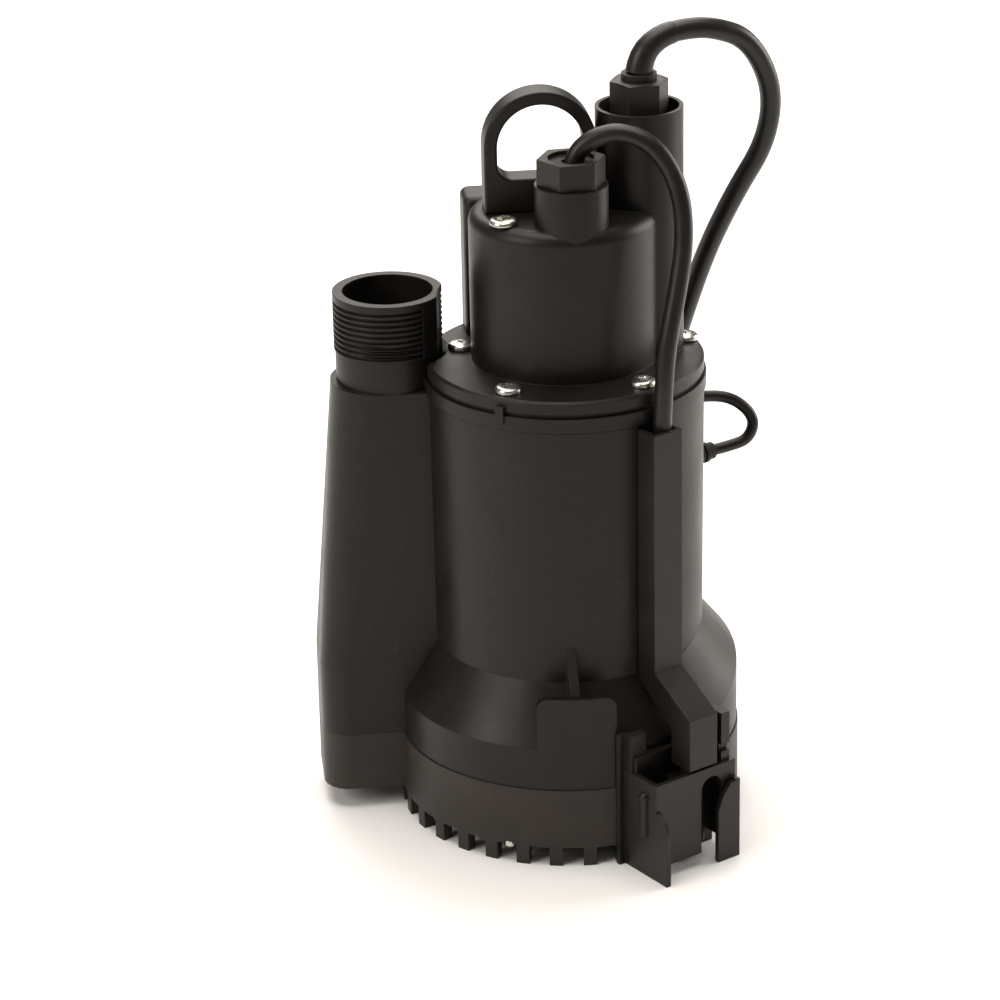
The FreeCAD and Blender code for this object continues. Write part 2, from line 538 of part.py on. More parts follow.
def power_grommet():
    neck = ring(5.6, POWER_CORD_R, 19.5, POWER_POCKET_Z, POWER_X, POWER_Y)
    return neck.fuse(ring(6.7, POWER_CORD_R, 2.5, POWER_NUT_TOP, POWER_X, POWER_Y)).removeSplitter()


def switch_gland_nut():
    nut = hexagon(SWITCH_NUT_AF, SWITCH_NUT_TOP - SWITCH_TOP, SWITCH_X, SWITCH_Y, SWITCH_TOP, 4)
    return nut.cut(cylinder(8.6, 20, SWITCH_X, SWITCH_Y, SWITCH_TOP - 1))


def switch_grommet():
    return ring(8.6, SWITCH_CORD_R, 8.5, SWITCH_TOP, SWITCH_X, SWITCH_Y)


# ---- cords and plug --------------------------------------------------------------------

def power_cord():
    return cord(POWER_ROUTE, POWER_CORD_R, "power_cord")


def power_cord_tail():
    return cord(TAIL_ROUTE, POWER_CORD_R, "power_cord_tail")


def power_cord_coil():
    coil = ring(COIL_R + COIL_W / 2, COIL_R - COIL_W / 2, COIL_H, COIL_FOOT, COIL_X, COIL_Y)
    return coil.makeFillet(POWER_CORD_R, coil.Edges)


def coil_tie():
    """A strap over the coil's section, on its left side."""
    x, top = COIL_X - COIL_R, COIL_FOOT + COIL_H
    out, deep = COIL_W / 2 + TIE_T, TIE_W / 2
    strap = block(x - out, x + out, COIL_Y - deep, COIL_Y + deep, COIL_FOOT, top + TIE_T)
    inside = block(x - out + TIE_T, x + out - TIE_T, COIL_Y - deep, COIL_Y + deep, 0, top)
    return strap.cut(inside).cut(power_cord_coil())


def plug_body():
    """Moulded three pin plug, lying on its side."""
    top = COIL_FOOT + PLUG_H
    body = rounded_block(PLUG_X - PLUG_W / 2, PLUG_X + PLUG_W / 2, PLUG_Y - PLUG_L / 2, PLUG_Y + PLUG_L / 2,
                         5.0, COIL_FOOT, top)
    return body.makeFillet(3.0, [e for e in body.Edges if abs(e.CenterOfMass.z - top) < 0.1])


def plug_blades():
    middle, root = COIL_FOOT + PLUG_H / 2, PLUG_Y - PLUG_L / 2
    x = PLUG_X - 4.0
    blades = [block(x - BLADE_W / 2, x + BLADE_W / 2, root - BLADE_L, root, z - BLADE_T / 2, z + BLADE_T / 2)
              for z in (middle - BLADE_GAP / 2, middle + BLADE_GAP / 2)]
    earth = Part.makeCylinder(EARTH_PIN_R, EARTH_PIN_L, V(x + EARTH_OFFSET, root, middle), V(0, -1, 0))
    return Part.makeCompound(blades + [earth])


def switch_cord():
    return cord(SWITCH_ROUTE, SWITCH_CORD_R, "switch_cord")


def motor_lead():
    return cord(LEAD_ROUTE, LEAD_R, "motor_lead")


def lead_boots():
    """Ribbed strain reliefs where the thin lead enters the barrel."""
    boots = []
    for angle, z, end in LEAD_GLANDS:
        boot = radial_pin(angle, z, 2.9, 49.0, 55.0).fuse(radial_pin(angle, z, 3.4, 54.0, end))
        for i in range(int((end - 55.5) / 3)):
            boot = boot.fuse(radial_pin(angle, z, 4.6 - 0.12 * i, 54.0 + 3.0 * i, 55.8 + 3.0 * i))
        boots.append(boot.cut(radial_pin(angle, z, LEAD_R, 48.0, end + 1)).removeSplitter())
    return Part.makeCompound(boots)


# ---- sensor mounting ---------------------------------------------------------------------

def cable_channel():
    shell = side_prism(CHANNEL_SIDE, CHANNEL_HALF_W)
    hollow = side_prism(CHANNEL_HOLLOW, CHANNEL_HALF_W - CHANNEL_WALL)
    body = shell.cut(hollow).cut(cylinder(BARREL_R_TOP + 0.1, 300))
    return swung(body, SENSOR_DIR)


def sensor_bracket():
    """Holder on the casing's side: back plate, guard fin, slotted front and hook tab."""
    fin = side_prism(HOLDER_FIN, HOLDER_SHEET / 2)
    fin.translate(V(0, HOLDER_FIN_Y, 0))
    arch = block(*HOLDER_ARCH).fuse(Part.makeCylinder(ARCH_R, 7, V(78, ARCH_Y, ARCH_Z), V(1, 0, 0)))
    tab_face = Part.Face(Part.makePolygon([V(HOLDER_TAB_X, y, z) for y, z in HOLDER_TAB + HOLDER_TAB[:1]]))
    tab = tab_face.extrude(V(HOLDER_SHEET, 0, 0))
    post = block(*HOLDER_POST).cut(block(*HOLDER_POST_NOTCH))
    clip = cylinder(CLIP_R, CLIP_L, CLIP_X, CLIP_Y, CLIP_Z)
    knob = Part.makeSphere(CLIP_KNOB_R, V(CLIP_X, CLIP_Y, CLIP_Z + CLIP_L))
    blocks = [block(*box) for box in (HOLDER_BACK, HOLDER_LEFT, HOLDER_RIB, HOLDER_RIGHT, HOLDER_BRIDGE)]
    body = union(blocks + [fin, block(*HOLDER_FRONT).cut(arch), tab, post, clip, knob])
    return swung(body.cut(cylinder(BASE_R + 0.3, 80)), SENSOR_DIR)


def level_sensor():
    body = rounded_block(*SENSOR_BODY)
    return swung(body.fuse(rounded_block(*SENSOR_STEM)).removeSplitter(), SENSOR_DIR)


def sensor_probes():
    pins = [cylinder(PROBE_R, PROBE_L, PROBE_X, y, PROBE_Z) for y in PROBE_Y]
    return swung(Part.makeCompound(pins), SENSOR_DIR)


# ---- motor and pump end --------------------------------------------------------------------

def seal_plate():
    plate = cylinder(MOTOR_R, SEAL_PLATE_T, z=SEAL_PLATE_Z)
    hub = cylinder(SEAL_HUB_R, 14, z=SEAL_PLATE_Z + SEAL_PLATE_T)
    body = plate.fuse(hub).cut(cylinder(BEARING_OUT_R, 10, z=LOWER_BEARING_Z))
    body = body.cut(cylinder(SEAT_R, 10, z=SEAL_PLATE_Z))
    return body.cut(cylinder(SHAFT_R + SHAFT_GAP, 40, z=SEAL_PLATE_Z - 5))


def seal_seat():
    return ring(SEAT_R, SHAFT_R + SEAL_GAP, SEAT_T, SEAL_PLATE_Z)


def seal_rotor():
    return ring(SEAL_RING_R, SHAFT_R, SEAL_RING_T, SEAL_PLATE_Z - SEAL_RING_T - SEAL_RUN)


def seal_spring():
    """Spring of the shaft seal, as a sleeve of its outer size."""
    return ring(SPRING_R, SHAFT_R + SEAL_GAP, SPRING_L, SEAL_PLATE_Z - SEAL_RING_T - SPRING_L - 2 * SEAL_RUN)


def bearing_outer(z):
    race = ring(BEARING_OUT_R, RACE_IN_R, BEARING_T, z)
    middle = z + BEARING_T / 2
    balls = [Part.makeSphere(BALL_R, V(*polar(360 / BALLS * i, BALL_RING_R), middle)) for i in range(BALLS)]
    groove = Part.makeTorus(BALL_RING_R, BALL_R, V(0, 0, middle))
    return race.cut(groove), balls


def bearing_inner(z):
    groove = Part.makeTorus(BALL_RING_R, BALL_R + 0.05, V(0, 0, z + BEARING_T / 2))
    return ring(INNER_RACE_R, SHAFT_R, BEARING_T, z).cut(groove)


def bearing_plate():
    plate = cylinder(MOTOR_R, 4, z=UPPER_BEARING_Z - 2)
    hub = cylinder(PLATE_HUB_R, BEARING_T + 6, z=UPPER_BEARING_Z - 4)
    body = plate.fuse(hub).cut(cylinder(BEARING_OUT_R, BEARING_T, z=UPPER_BEARING_Z))
    body = body.cut(cylinder(SHAFT_R + SHAFT_GAP, 40, z=UPPER_BEARING_Z - 10))
    for i in range(4):
        hole = cylinder(PLATE_HOLE_R, 30, PLATE_HOLE_RING, 0, UPPER_BEARING_Z - 10)
        body = body.cut(swung(hole, 45 + 90 * i))
    return body.removeSplitter()


def shaft():
    body = cylinder(SHAFT_R, SHAFT_TOP - SHAFT_Z, z=SHAFT_Z)
    return body.fuse(cylinder(STUB_R, SHAFT_Z - STUB_Z, z=STUB_Z)).removeSplitter()


def rotor_core():
    return ring(ROTOR_R, SHAFT_R, STACK_TOP - STACK_Z, STACK_Z)


def rotor_end_rings():
    ends = (STACK_Z - END_RING_T, STACK_TOP)
    return Part.makeCompound([ring(END_RING_R, END_RING_IN_R, END_RING_T, z) for z in ends])


def stator_core():
    body = ring(STATOR_R, STATOR_IN_R, STACK_TOP - STACK_Z, STACK_Z)
    slots = []
    slot = block(SLOT_IN_R, SLOT_OUT_R, -SLOT_HALF_W, SLOT_HALF_W, STACK_Z - 1, STACK_TOP + 1)
    mouth = block(STATOR_IN_R - 1, SLOT_IN_R + 1, -MOUTH_HALF_W, MOUTH_HALF_W, STACK_Z - 1, STACK_TOP + 1)
    for i in range(SLOTS):
        slots += [swung(slot, 360 / SLOTS * i), swung(mouth, 360 / SLOTS * i)]
    return body.cut(Part.makeCompound(slots))


def winding(z0, z1):
    coil = ring(WINDING_R, WINDING_IN_R, z1 - z0, z0)
    return coil.makeFillet(WINDING_ROUND, coil.Edges)


def impeller():
    shroud = ring(IMPELLER_R, SHAFT_R, SHROUD_T, SHROUD_Z)
    hub = ring(HUB_R, SHAFT_R, SHROUD_Z + 2.0 - SHAFT_Z, SHAFT_Z)
    vane = ring(VANE_R, VANE_R - VANE_T, SHROUD_Z + 0.3 - VANE_Z, VANE_Z, 0, VANE_Y)
    swept = ring(IMPELLER_R - 0.5, VANE_IN_R, 12, VANE_Z - 0.8)
    vane = vane.common(swept).common(block(0, 60, -60, 60, 0, 60))
    vanes = [swung(vane, 360 / VANES * i) for i in range(VANES)]
    body = union([shroud, hub] + vanes)
    return body.cut(cylinder(SHAFT_R, 40))


def impeller_nut():
    return hexagon(NUT_FLATS, NUT_H, 0, 0, NUT_Z).cut(cylinder(STUB_R, 30))


def capacitor():
    can = cylinder(CAN_R, CAN_H, CAN_X, CAN_Y, CAN_Z)
    return can.makeFillet(CAN_ROUND, can.Edges[:1] + can.Edges[2:])


def capacitor_terminals():
    return Part.makeCompound([block(x, x + 0.8, *TERMINAL_YZ) for x in TERMINAL_X])


def control_board():
    return block(*BOARD_BOX)


def relay():
    return block(*RELAY_BOX)


def thermal_protector():
    return block(*PROTECTOR_BOX)


PIECES = {
    "strainer_base": strainer_base, "case_seal": case_seal, "base_screws": base_screws,
    "pump_housing": pump_housing, "cap_gasket": cap_gasket, "top_cap": top_cap,
    "flange_screws": flange_screws, "oil_plug": oil_plug, "carry_handle": carry_handle,
    "power_gland_nut": power_gland_nut, "power_grommet": power_grommet,
    "switch_gland_nut": switch_gland_nut, "switch_grommet": switch_grommet,
    "power_cord": power_cord, "power_cord_coil": power_cord_coil, "power_cord_tail": power_cord_tail,
    "coil_tie": coil_tie, "plug_body": plug_body, "plug_blades": plug_blades,
    "switch_cord": switch_cord, "motor_lead": motor_lead, "lead_boots": lead_boots,
    "cable_channel": cable_channel, "sensor_bracket": sensor_bracket,
    "level_sensor": level_sensor, "sensor_probes": sensor_probes,
    "seal_plate": seal_plate, "seal_seat": seal_seat, "seal_rotor": seal_rotor,
    "seal_spring": seal_spring, "bearing_plate": bearing_plate, "shaft": shaft,
    "rotor_core": rotor_core, "rotor_end_rings": rotor_end_rings, "stator_core": stator_core,
    "lower_winding": lambda: winding(WINDING_FOOT, STACK_Z),
    "upper_winding": lambda: winding(STACK_TOP, WINDING_TOP),
    "impeller": impeller, "impeller_nut": impeller_nut,
    "capacitor": capacitor, "capacitor_terminals": capacitor_terminals,
    "control_board": control_board, "relay": relay, "thermal_protector": thermal_protector,
}


def main():
    os.makedirs("parts", exist_ok=True)
    solids = {name: make() for name, make in PIECES.items()}
    for place, z in (("lower", LOWER_BEARING_Z), ("upper", UPPER_BEARING_Z)):
        race, balls = bearing_outer(z)
        solids[f"{place}_bearing_outer"] = race
        solids[f"{place}_bearing_balls"] = Part.makeCompound(balls)
        solids[f"{place}_bearing_inner"] = bearing_inner(z)
    for name, shape in solids.items():
        print(f"{name}: valid {shape.isValid()}, solids {len(shape.Solids)}, volume {shape.Volume:.0f}")
        shape.exportStep(f"parts/{name}.step")


main()
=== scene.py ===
"""Looks of a submersible sump pump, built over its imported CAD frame. Lengths are in metres."""
import logging
import math
from dataclasses import dataclass, field
from enum import Enum
from typing import Callable, Iterable, Sequence

import bmesh
import bpy
from mathutils import Matrix, Vector


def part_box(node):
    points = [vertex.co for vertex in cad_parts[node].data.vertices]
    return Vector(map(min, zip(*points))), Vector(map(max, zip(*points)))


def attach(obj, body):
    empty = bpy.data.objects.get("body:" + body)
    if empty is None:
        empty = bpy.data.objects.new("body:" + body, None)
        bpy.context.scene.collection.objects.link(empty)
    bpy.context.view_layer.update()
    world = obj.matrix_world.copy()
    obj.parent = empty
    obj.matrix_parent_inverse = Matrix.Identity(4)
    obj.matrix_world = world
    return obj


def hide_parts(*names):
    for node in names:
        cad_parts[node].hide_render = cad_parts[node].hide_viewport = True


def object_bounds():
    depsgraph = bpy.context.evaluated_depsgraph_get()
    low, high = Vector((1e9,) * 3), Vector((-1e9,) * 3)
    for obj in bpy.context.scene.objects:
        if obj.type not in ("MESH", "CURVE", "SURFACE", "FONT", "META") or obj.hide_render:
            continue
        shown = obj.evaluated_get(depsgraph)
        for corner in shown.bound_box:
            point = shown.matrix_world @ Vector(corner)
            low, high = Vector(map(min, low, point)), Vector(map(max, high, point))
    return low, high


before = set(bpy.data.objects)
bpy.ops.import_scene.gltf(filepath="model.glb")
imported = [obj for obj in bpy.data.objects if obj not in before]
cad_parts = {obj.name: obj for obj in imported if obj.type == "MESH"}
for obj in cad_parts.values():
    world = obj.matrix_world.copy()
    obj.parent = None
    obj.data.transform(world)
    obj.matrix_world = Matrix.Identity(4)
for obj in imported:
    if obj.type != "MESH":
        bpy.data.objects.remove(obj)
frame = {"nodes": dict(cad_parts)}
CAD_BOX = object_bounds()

LOG = logging.getLogger("sump_pump")
MM = 0.001
FIXED_BODY = "pump"        # the CAD body that every new piece rides on

Point = tuple[float, float, float]
Socket = bpy.types.NodeSocket
Tree = bpy.types.NodeTree


class Recess(Enum):
    """What a screw's head takes."""

    CROSS = "cross"
    SOCKET = "six-sided socket"


# ---- small helpers ---------------------------------------------------------------


def linear(colour: str) -> tuple[float, float, float, float]:
    """Turns an sRGB hex colour into linear values.

    Args:
        colour: six hex digits after a hash.

    Returns:
        Linear red, green and blue, with an alpha of one.
    """
    parts = [int(colour[i:i + 2], 16) / 255 for i in (1, 3, 5)]
    lit = [c / 12.92 if c <= 0.04045 else ((c + 0.055) / 1.055) ** 2.4 for c in parts]
    return (*lit, 1.0)


def millimetres(points: Iterable[Point]) -> list[Point]:
    """Turns points in millimetres into points in metres."""
    return [(x * MM, y * MM, z * MM) for x, y, z in points]


def per_metre(size_mm: float) -> float:
    """The texture scale at which one feature of a pattern is that many millimetres wide."""
    return 1.0 / (size_mm * MM)


def deselect_all() -> None:
    """Leaves nothing selected, in object mode."""
    if bpy.context.object and bpy.context.object.mode != "OBJECT":
        bpy.ops.object.mode_set(mode="OBJECT")
    bpy.ops.object.select_all(action="DESELECT")


def make_active(piece: bpy.types.Object) -> None:
    """Selects one object alone and makes it the active one."""
    deselect_all()
    piece.select_set(True)
    bpy.context.view_layer.objects.active = piece


def settle(piece: bpy.types.Object, name: str) -> bpy.types.Object:
    """Names a piece and moves its place into its mesh, so that its object sits at the origin.

    Args:
        piece: the object to settle.
        name: its name in the model.

    Returns:
        The same object.
    """
    make_active(piece)
    bpy.ops.object.transform_apply(location=True, rotation=True, scale=True)
    piece.name = piece.data.name = name
    return piece


def select_faces(piece: bpy.types.Object, wanted: Callable[[bmesh.types.BMFace], bool]) -> None:
    """In edit mode, selects only the faces that pass a test."""
    bpy.ops.mesh.select_mode(type="FACE")
    mesh = bmesh.from_edit_mesh(piece.data)
    for face in mesh.faces:
        face.select_set(bool(wanted(face)))
    mesh.select_flush_mode()
    bmesh.update_edit_mesh(piece.data)


def select_edges(piece: bpy.types.Object, wanted: Callable[[bmesh.types.BMEdge], bool]) -> None:
    """In edit mode, selects only the edges that pass a test."""
    bpy.ops.mesh.select_all(action="DESELECT")
    bpy.ops.mesh.select_mode(type="EDGE")
    mesh = bmesh.from_edit_mesh(piece.data)
    for edge in mesh.edges:
        edge.select_set(bool(wanted(edge)))
    mesh.select_flush_mode()
    bmesh.update_edit_mesh(piece.data)


def add_modifier(piece: bpy.types.Object, kind: str, **settings: object) -> None:
    """Adds a modifier with its settings and applies it at once."""
    make_active(piece)
    made = piece.modifiers.new(kind.lower(), kind)
    for key, value in settings.items():
        setattr(made, key, value)
    bpy.ops.object.modifier_apply(modifier=made.name)


def smooth(piece: bpy.types.Object, degrees: float = 35.0) -> None:
    """Shades a piece smooth across edges flatter than an angle."""
    make_active(piece)
    bpy.ops.object.shade_smooth_by_angle(angle=math.radians(degrees))


def joined(parts: Sequence[bpy.types.Object]) -> bpy.types.Object:
    """Joins several objects into the first one."""
    deselect_all()
    for part in parts:
        part.select_set(True)
    bpy.context.view_layer.objects.active = parts[0]
    if len(parts) > 1:
        bpy.ops.object.join()
    return parts[0]


def turned(centre: Point, profile: Sequence[tuple[float, float]], sides: int = 48) -> bpy.types.Object:
    """A turned solid about an upright axis, drawn up ring by ring from a filled circle.

    Args:
        centre: the axis and height that the profile's heights start from.
        profile: (radius, height) pairs from the bottom face to the top face.
        sides: number of sides.

    Returns:
        The new object, still with its own place.
    """
    x, y, z = centre
    radius, height = profile[0]
    deselect_all()
    bpy.ops.mesh.primitive_circle_add(vertices=sides, radius=radius, fill_type="NGON",
                                      location=(x, y, z + height))
    piece = bpy.context.object
    bpy.ops.object.mode_set(mode="EDIT")
    bpy.ops.mesh.select_all(action="SELECT")
    for (r0, z0), (r1, z1) in zip(profile, profile[1:]):
        bpy.ops.mesh.extrude_region_move(TRANSFORM_OT_translate={"value": (0, 0, z1 - z0)})
        k = r1 / r0
        bpy.ops.transform.resize(value=(k, k, 1), center_override=(x, y, z + z1))
    bpy.ops.mesh.select_all(action="SELECT")
    bpy.ops.mesh.normals_make_consistent(inside=False)
    bpy.ops.object.mode_set(mode="OBJECT")
    return piece


def bar(low: Point, high: Point) -> bpy.types.Object:
    """A box between two corners."""
    deselect_all()
    middle = [(a + b) / 2 for a, b in zip(low, high)]
    bpy.ops.mesh.primitive_cube_add(size=1.0, location=middle)
    piece = bpy.context.object
    piece.scale = [b - a for a, b in zip(low, high)]
    bpy.ops.object.transform_apply(location=False, rotation=False, scale=True)
    return piece


def cut_away(piece: bpy.types.Object, cutter: bpy.types.Object) -> None:
    """Takes one solid out of another, and removes the tool."""
    add_modifier(piece, "BOOLEAN", operation="DIFFERENCE", object=cutter, solver="EXACT")
    bpy.data.objects.remove(cutter)


def rounded(piece: bpy.types.Object, width: float, segments: int = 2, degrees: float = 40.0) -> None:
    """Rounds a piece's sharp edges and closes small gaps first."""
    make_active(piece)
    bpy.ops.object.mode_set(mode="EDIT")
    bpy.ops.mesh.select_all(action="SELECT")
    bpy.ops.mesh.remove_doubles(threshold=0.01 * MM)
    bpy.ops.object.mode_set(mode="OBJECT")
    add_modifier(piece, "BEVEL", width=width, segments=segments, limit_method="ANGLE",
                 angle_limit=math.radians(degrees), use_clamp_overlap=True)
    smooth(piece)


# ---- finishes ---------------------------------------------------------------------

PATCH_DETAIL = 5.0              # octaves of the patches of colour
GRAIN_DETAIL = 3.0              # octaves of the surface's grain
RAMP_ENDS = (0.3, 0.72)         # pattern values at which the two colours are pure
RANGE_ENDS = (0.25, 0.75)       # pattern values at which a range starts and ends
WAVE_SCALE = math.tau / 20      # the wave pattern's own scale for one stripe a unit

def add_node(tree: Tree, kind: str, values: dict | None = None, links: dict | None = None,
             **settings: object) -> bpy.types.Node:
    """Adds one node to a tree.

    Args:
        tree: the material's node tree.
        kind: the node's type, without its common prefix.
        values: input name or number to its constant.
        links: input name or number to the socket that feeds it.
        **settings: the node's own properties.

    Returns:
        The new node.
    """
    made = tree.nodes.new("ShaderNode" + kind)
    for key, value in settings.items():
        setattr(made, key, value)
    for key, value in (values or {}).items():
        made.inputs[key].default_value = value
    for key, source in (links or {}).items():
        tree.links.new(source, made.inputs[key])
    return made


def blended(tree: Tree, amount: Socket, first: str, second: str) -> Socket:
    """Goes from one hex colour to another as amount goes from 0 to 1."""
    ramp = add_node(tree, "ValToRGB", links={"Fac": amount})
    for stop, position, colour in zip(ramp.color_ramp.elements, RAMP_ENDS, (first, second)):
        stop.position = position
        stop.color = linear(colour)
    return ramp.outputs["Color"]


def ranged(tree: Tree, amount: Socket, low: float, high: float) -> Socket:
    """Maps a pattern of 0 to 1 onto a range."""
    start, end = RANGE_ENDS
    mapped = add_node(tree, "MapRange", values={"From Min": start, "From Max": end, "To Min": low,
                                                "To Max": high}, links={"Value": amount})
    return mapped.outputs["Result"]


@dataclass(frozen=True)
class Finish:
    """What every finish has: a name, its colours and how rough it is.

    Attributes:
        name: the material's common name and how its surface was made.
        base: main colour.
        tint: the colour that it drifts to in patches.
        rough: lowest and highest roughness.
        ior: index of refraction of what isn't metal.
        metallic: 1 for bare metal.
        patch_mm: size of the patches of colour and gloss.
        grain_mm: size of the surface's grain.
        grain_height: height of the grain, in millimetres.
        edge_mm: radius that the edges are softened to.
        gloss: specular level, lower where fine grain and dust break the reflection up.
    """

    name: str
    base: str
    tint: str
    rough: tuple[float, float]
    ior: float = 1.5
    metallic: float = 0.0
    patch_mm: float = 22.0
    grain_mm: float = 0.9
    grain_height: float = 0.02
    edge_mm: float = 0.5
    gloss: float = 0.5

    def material(self) -> bpy.types.Material:
        """The finish as a material, made once."""
        found = bpy.data.materials.get(self.name)
        if found:
            return found
        made = bpy.data.materials.new(self.name)
        made.use_nodes = True
        made.diffuse_color = linear(self.base)
        tree = made.node_tree
        shader = tree.nodes["Principled BSDF"]
        shader.inputs["Metallic"].default_value = self.metallic
        if not self.metallic:
            shader.inputs["IOR"].default_value = self.ior
            shader.inputs["Specular IOR Level"].default_value = self.gloss
        self.paint(tree, shader)
        return made

    def paint(self, tree: Tree, shader: bpy.types.Node) -> None:
        """Adds the finish's patterns to its tree.

        Args:
            tree: the material's node tree.
            shader: its principled shader.
        """
        where = add_node(tree, "TexCoord").outputs["Object"]
        patches = self.noise(tree, where, self.patch_mm, detail=PATCH_DETAIL)
        tree.links.new(blended(tree, patches, self.base, self.tint), shader.inputs["Base Color"])
        tree.links.new(ranged(tree, patches, *self.rough), shader.inputs["Roughness"])
        self.relief(tree, shader, self.grain(tree, where))

    def grain(self, tree: Tree, where: Socket) -> Socket:
        """The surface's height pattern."""
        return self.noise(tree, where, self.grain_mm, detail=GRAIN_DETAIL)

    def noise(self, tree: Tree, where: Socket, size_mm: float, detail: float) -> Socket:
        """Soft noise with features of a size in millimetres."""
        made = add_node(tree, "TexNoise", values={"Scale": per_metre(size_mm), "Detail": detail,
                                                  "Roughness": 0.55}, links={"Vector": where})
        return made.outputs["Fac"]

    def relief(self, tree: Tree, shader: bpy.types.Node, height: Socket) -> None:
        """Softens the edges and adds the height pattern as bump."""
        edge = add_node(tree, "Bevel", values={"Radius": self.edge_mm * MM}, samples=4)
        bump = add_node(tree, "Bump", values={"Strength": 0.6, "Distance": self.grain_height * MM},
                        links={"Height": height, "Normal": edge.outputs["Normal"]})
        tree.links.new(bump.outputs["Normal"], shader.inputs["Normal"])


@dataclass(frozen=True)
class Moulded(Finish):
    """Moulded thermoplastic: spark grain, soft sinks where it cooled, and a dusting of scuffs.

    Attributes:
        scuff: colour of the dry, rubbed places.
        scuff_share: how much of the surface they take, from 0 to 1.
        scuff_mm: size of one.
        sink_mm: size of a soft sink.
        sink_depth: depth of a sink, in heights of the grain.
    """

    scuff: str = "#4a4642"
    scuff_share: float = 0.25
    scuff_mm: float = 3.5
    sink_mm: float = 14.0
    sink_depth: float = 6.0

    def paint(self, tree: Tree, shader: bpy.types.Node) -> None:
        """Adds patches, fine scuffs and the spark grain."""
        where = add_node(tree, "TexCoord").outputs["Object"]
        patches = self.noise(tree, where, self.patch_mm, detail=PATCH_DETAIL)
        base = blended(tree, patches, self.base, self.tint)
        specks = self.noise(tree, where, self.scuff_mm, detail=8.0)
        rubbed = add_node(tree, "MapRange", values={"From Min": 0.62, "From Max": 0.80, "To Min": 0.0,
                                                    "To Max": self.scuff_share}, links={"Value": specks})
        colour = add_node(tree, "Mix", data_type="RGBA", values={7: linear(self.scuff)},
                          links={0: rubbed.outputs["Result"], 6: base})
        tree.links.new(colour.outputs[2], shader.inputs["Base Color"])
        tree.links.new(ranged(tree, patches, *self.rough), shader.inputs["Roughness"])
        fine = self.grain(tree, where)
        sinks = self.noise(tree, where, self.sink_mm, detail=1.0)
        height = add_node(tree, "Math", operation="MULTIPLY_ADD", values={1: self.sink_depth},
                          links={0: sinks, 2: fine})
        self.relief(tree, shader, height.outputs[0])


@dataclass(frozen=True)
class Layered(Finish):
    """Stacked or wound stock: fine stripes across one direction.

    Attributes:
        stripe_mm: distance between stripes.
        along: the object axis that the stripes repeat along.
    """

    stripe_mm: float = 0.7
    along: str = "Z"

    def grain(self, tree: Tree, where: Socket) -> Socket:
        """Stripes a lamination or a wire apart."""
        scale = per_metre(self.stripe_mm) * WAVE_SCALE
        wave = add_node(tree, "TexWave", values={"Scale": scale, "Distortion": 0.4}, links={"Vector": where},
                        bands_direction=self.along)
        return wave.outputs["Fac"]


@dataclass(frozen=True)
class Speckled(Finish):
    """Plated or cast metal: tiny bright and dull cells."""

    def grain(self, tree: Tree, where: Socket) -> Socket:
        """Cells a crystal wide."""
        cells = add_node(tree, "TexVoronoi", values={"Scale": per_metre(self.grain_mm)},
                         links={"Vector": where})
        return cells.outputs["Distance"]


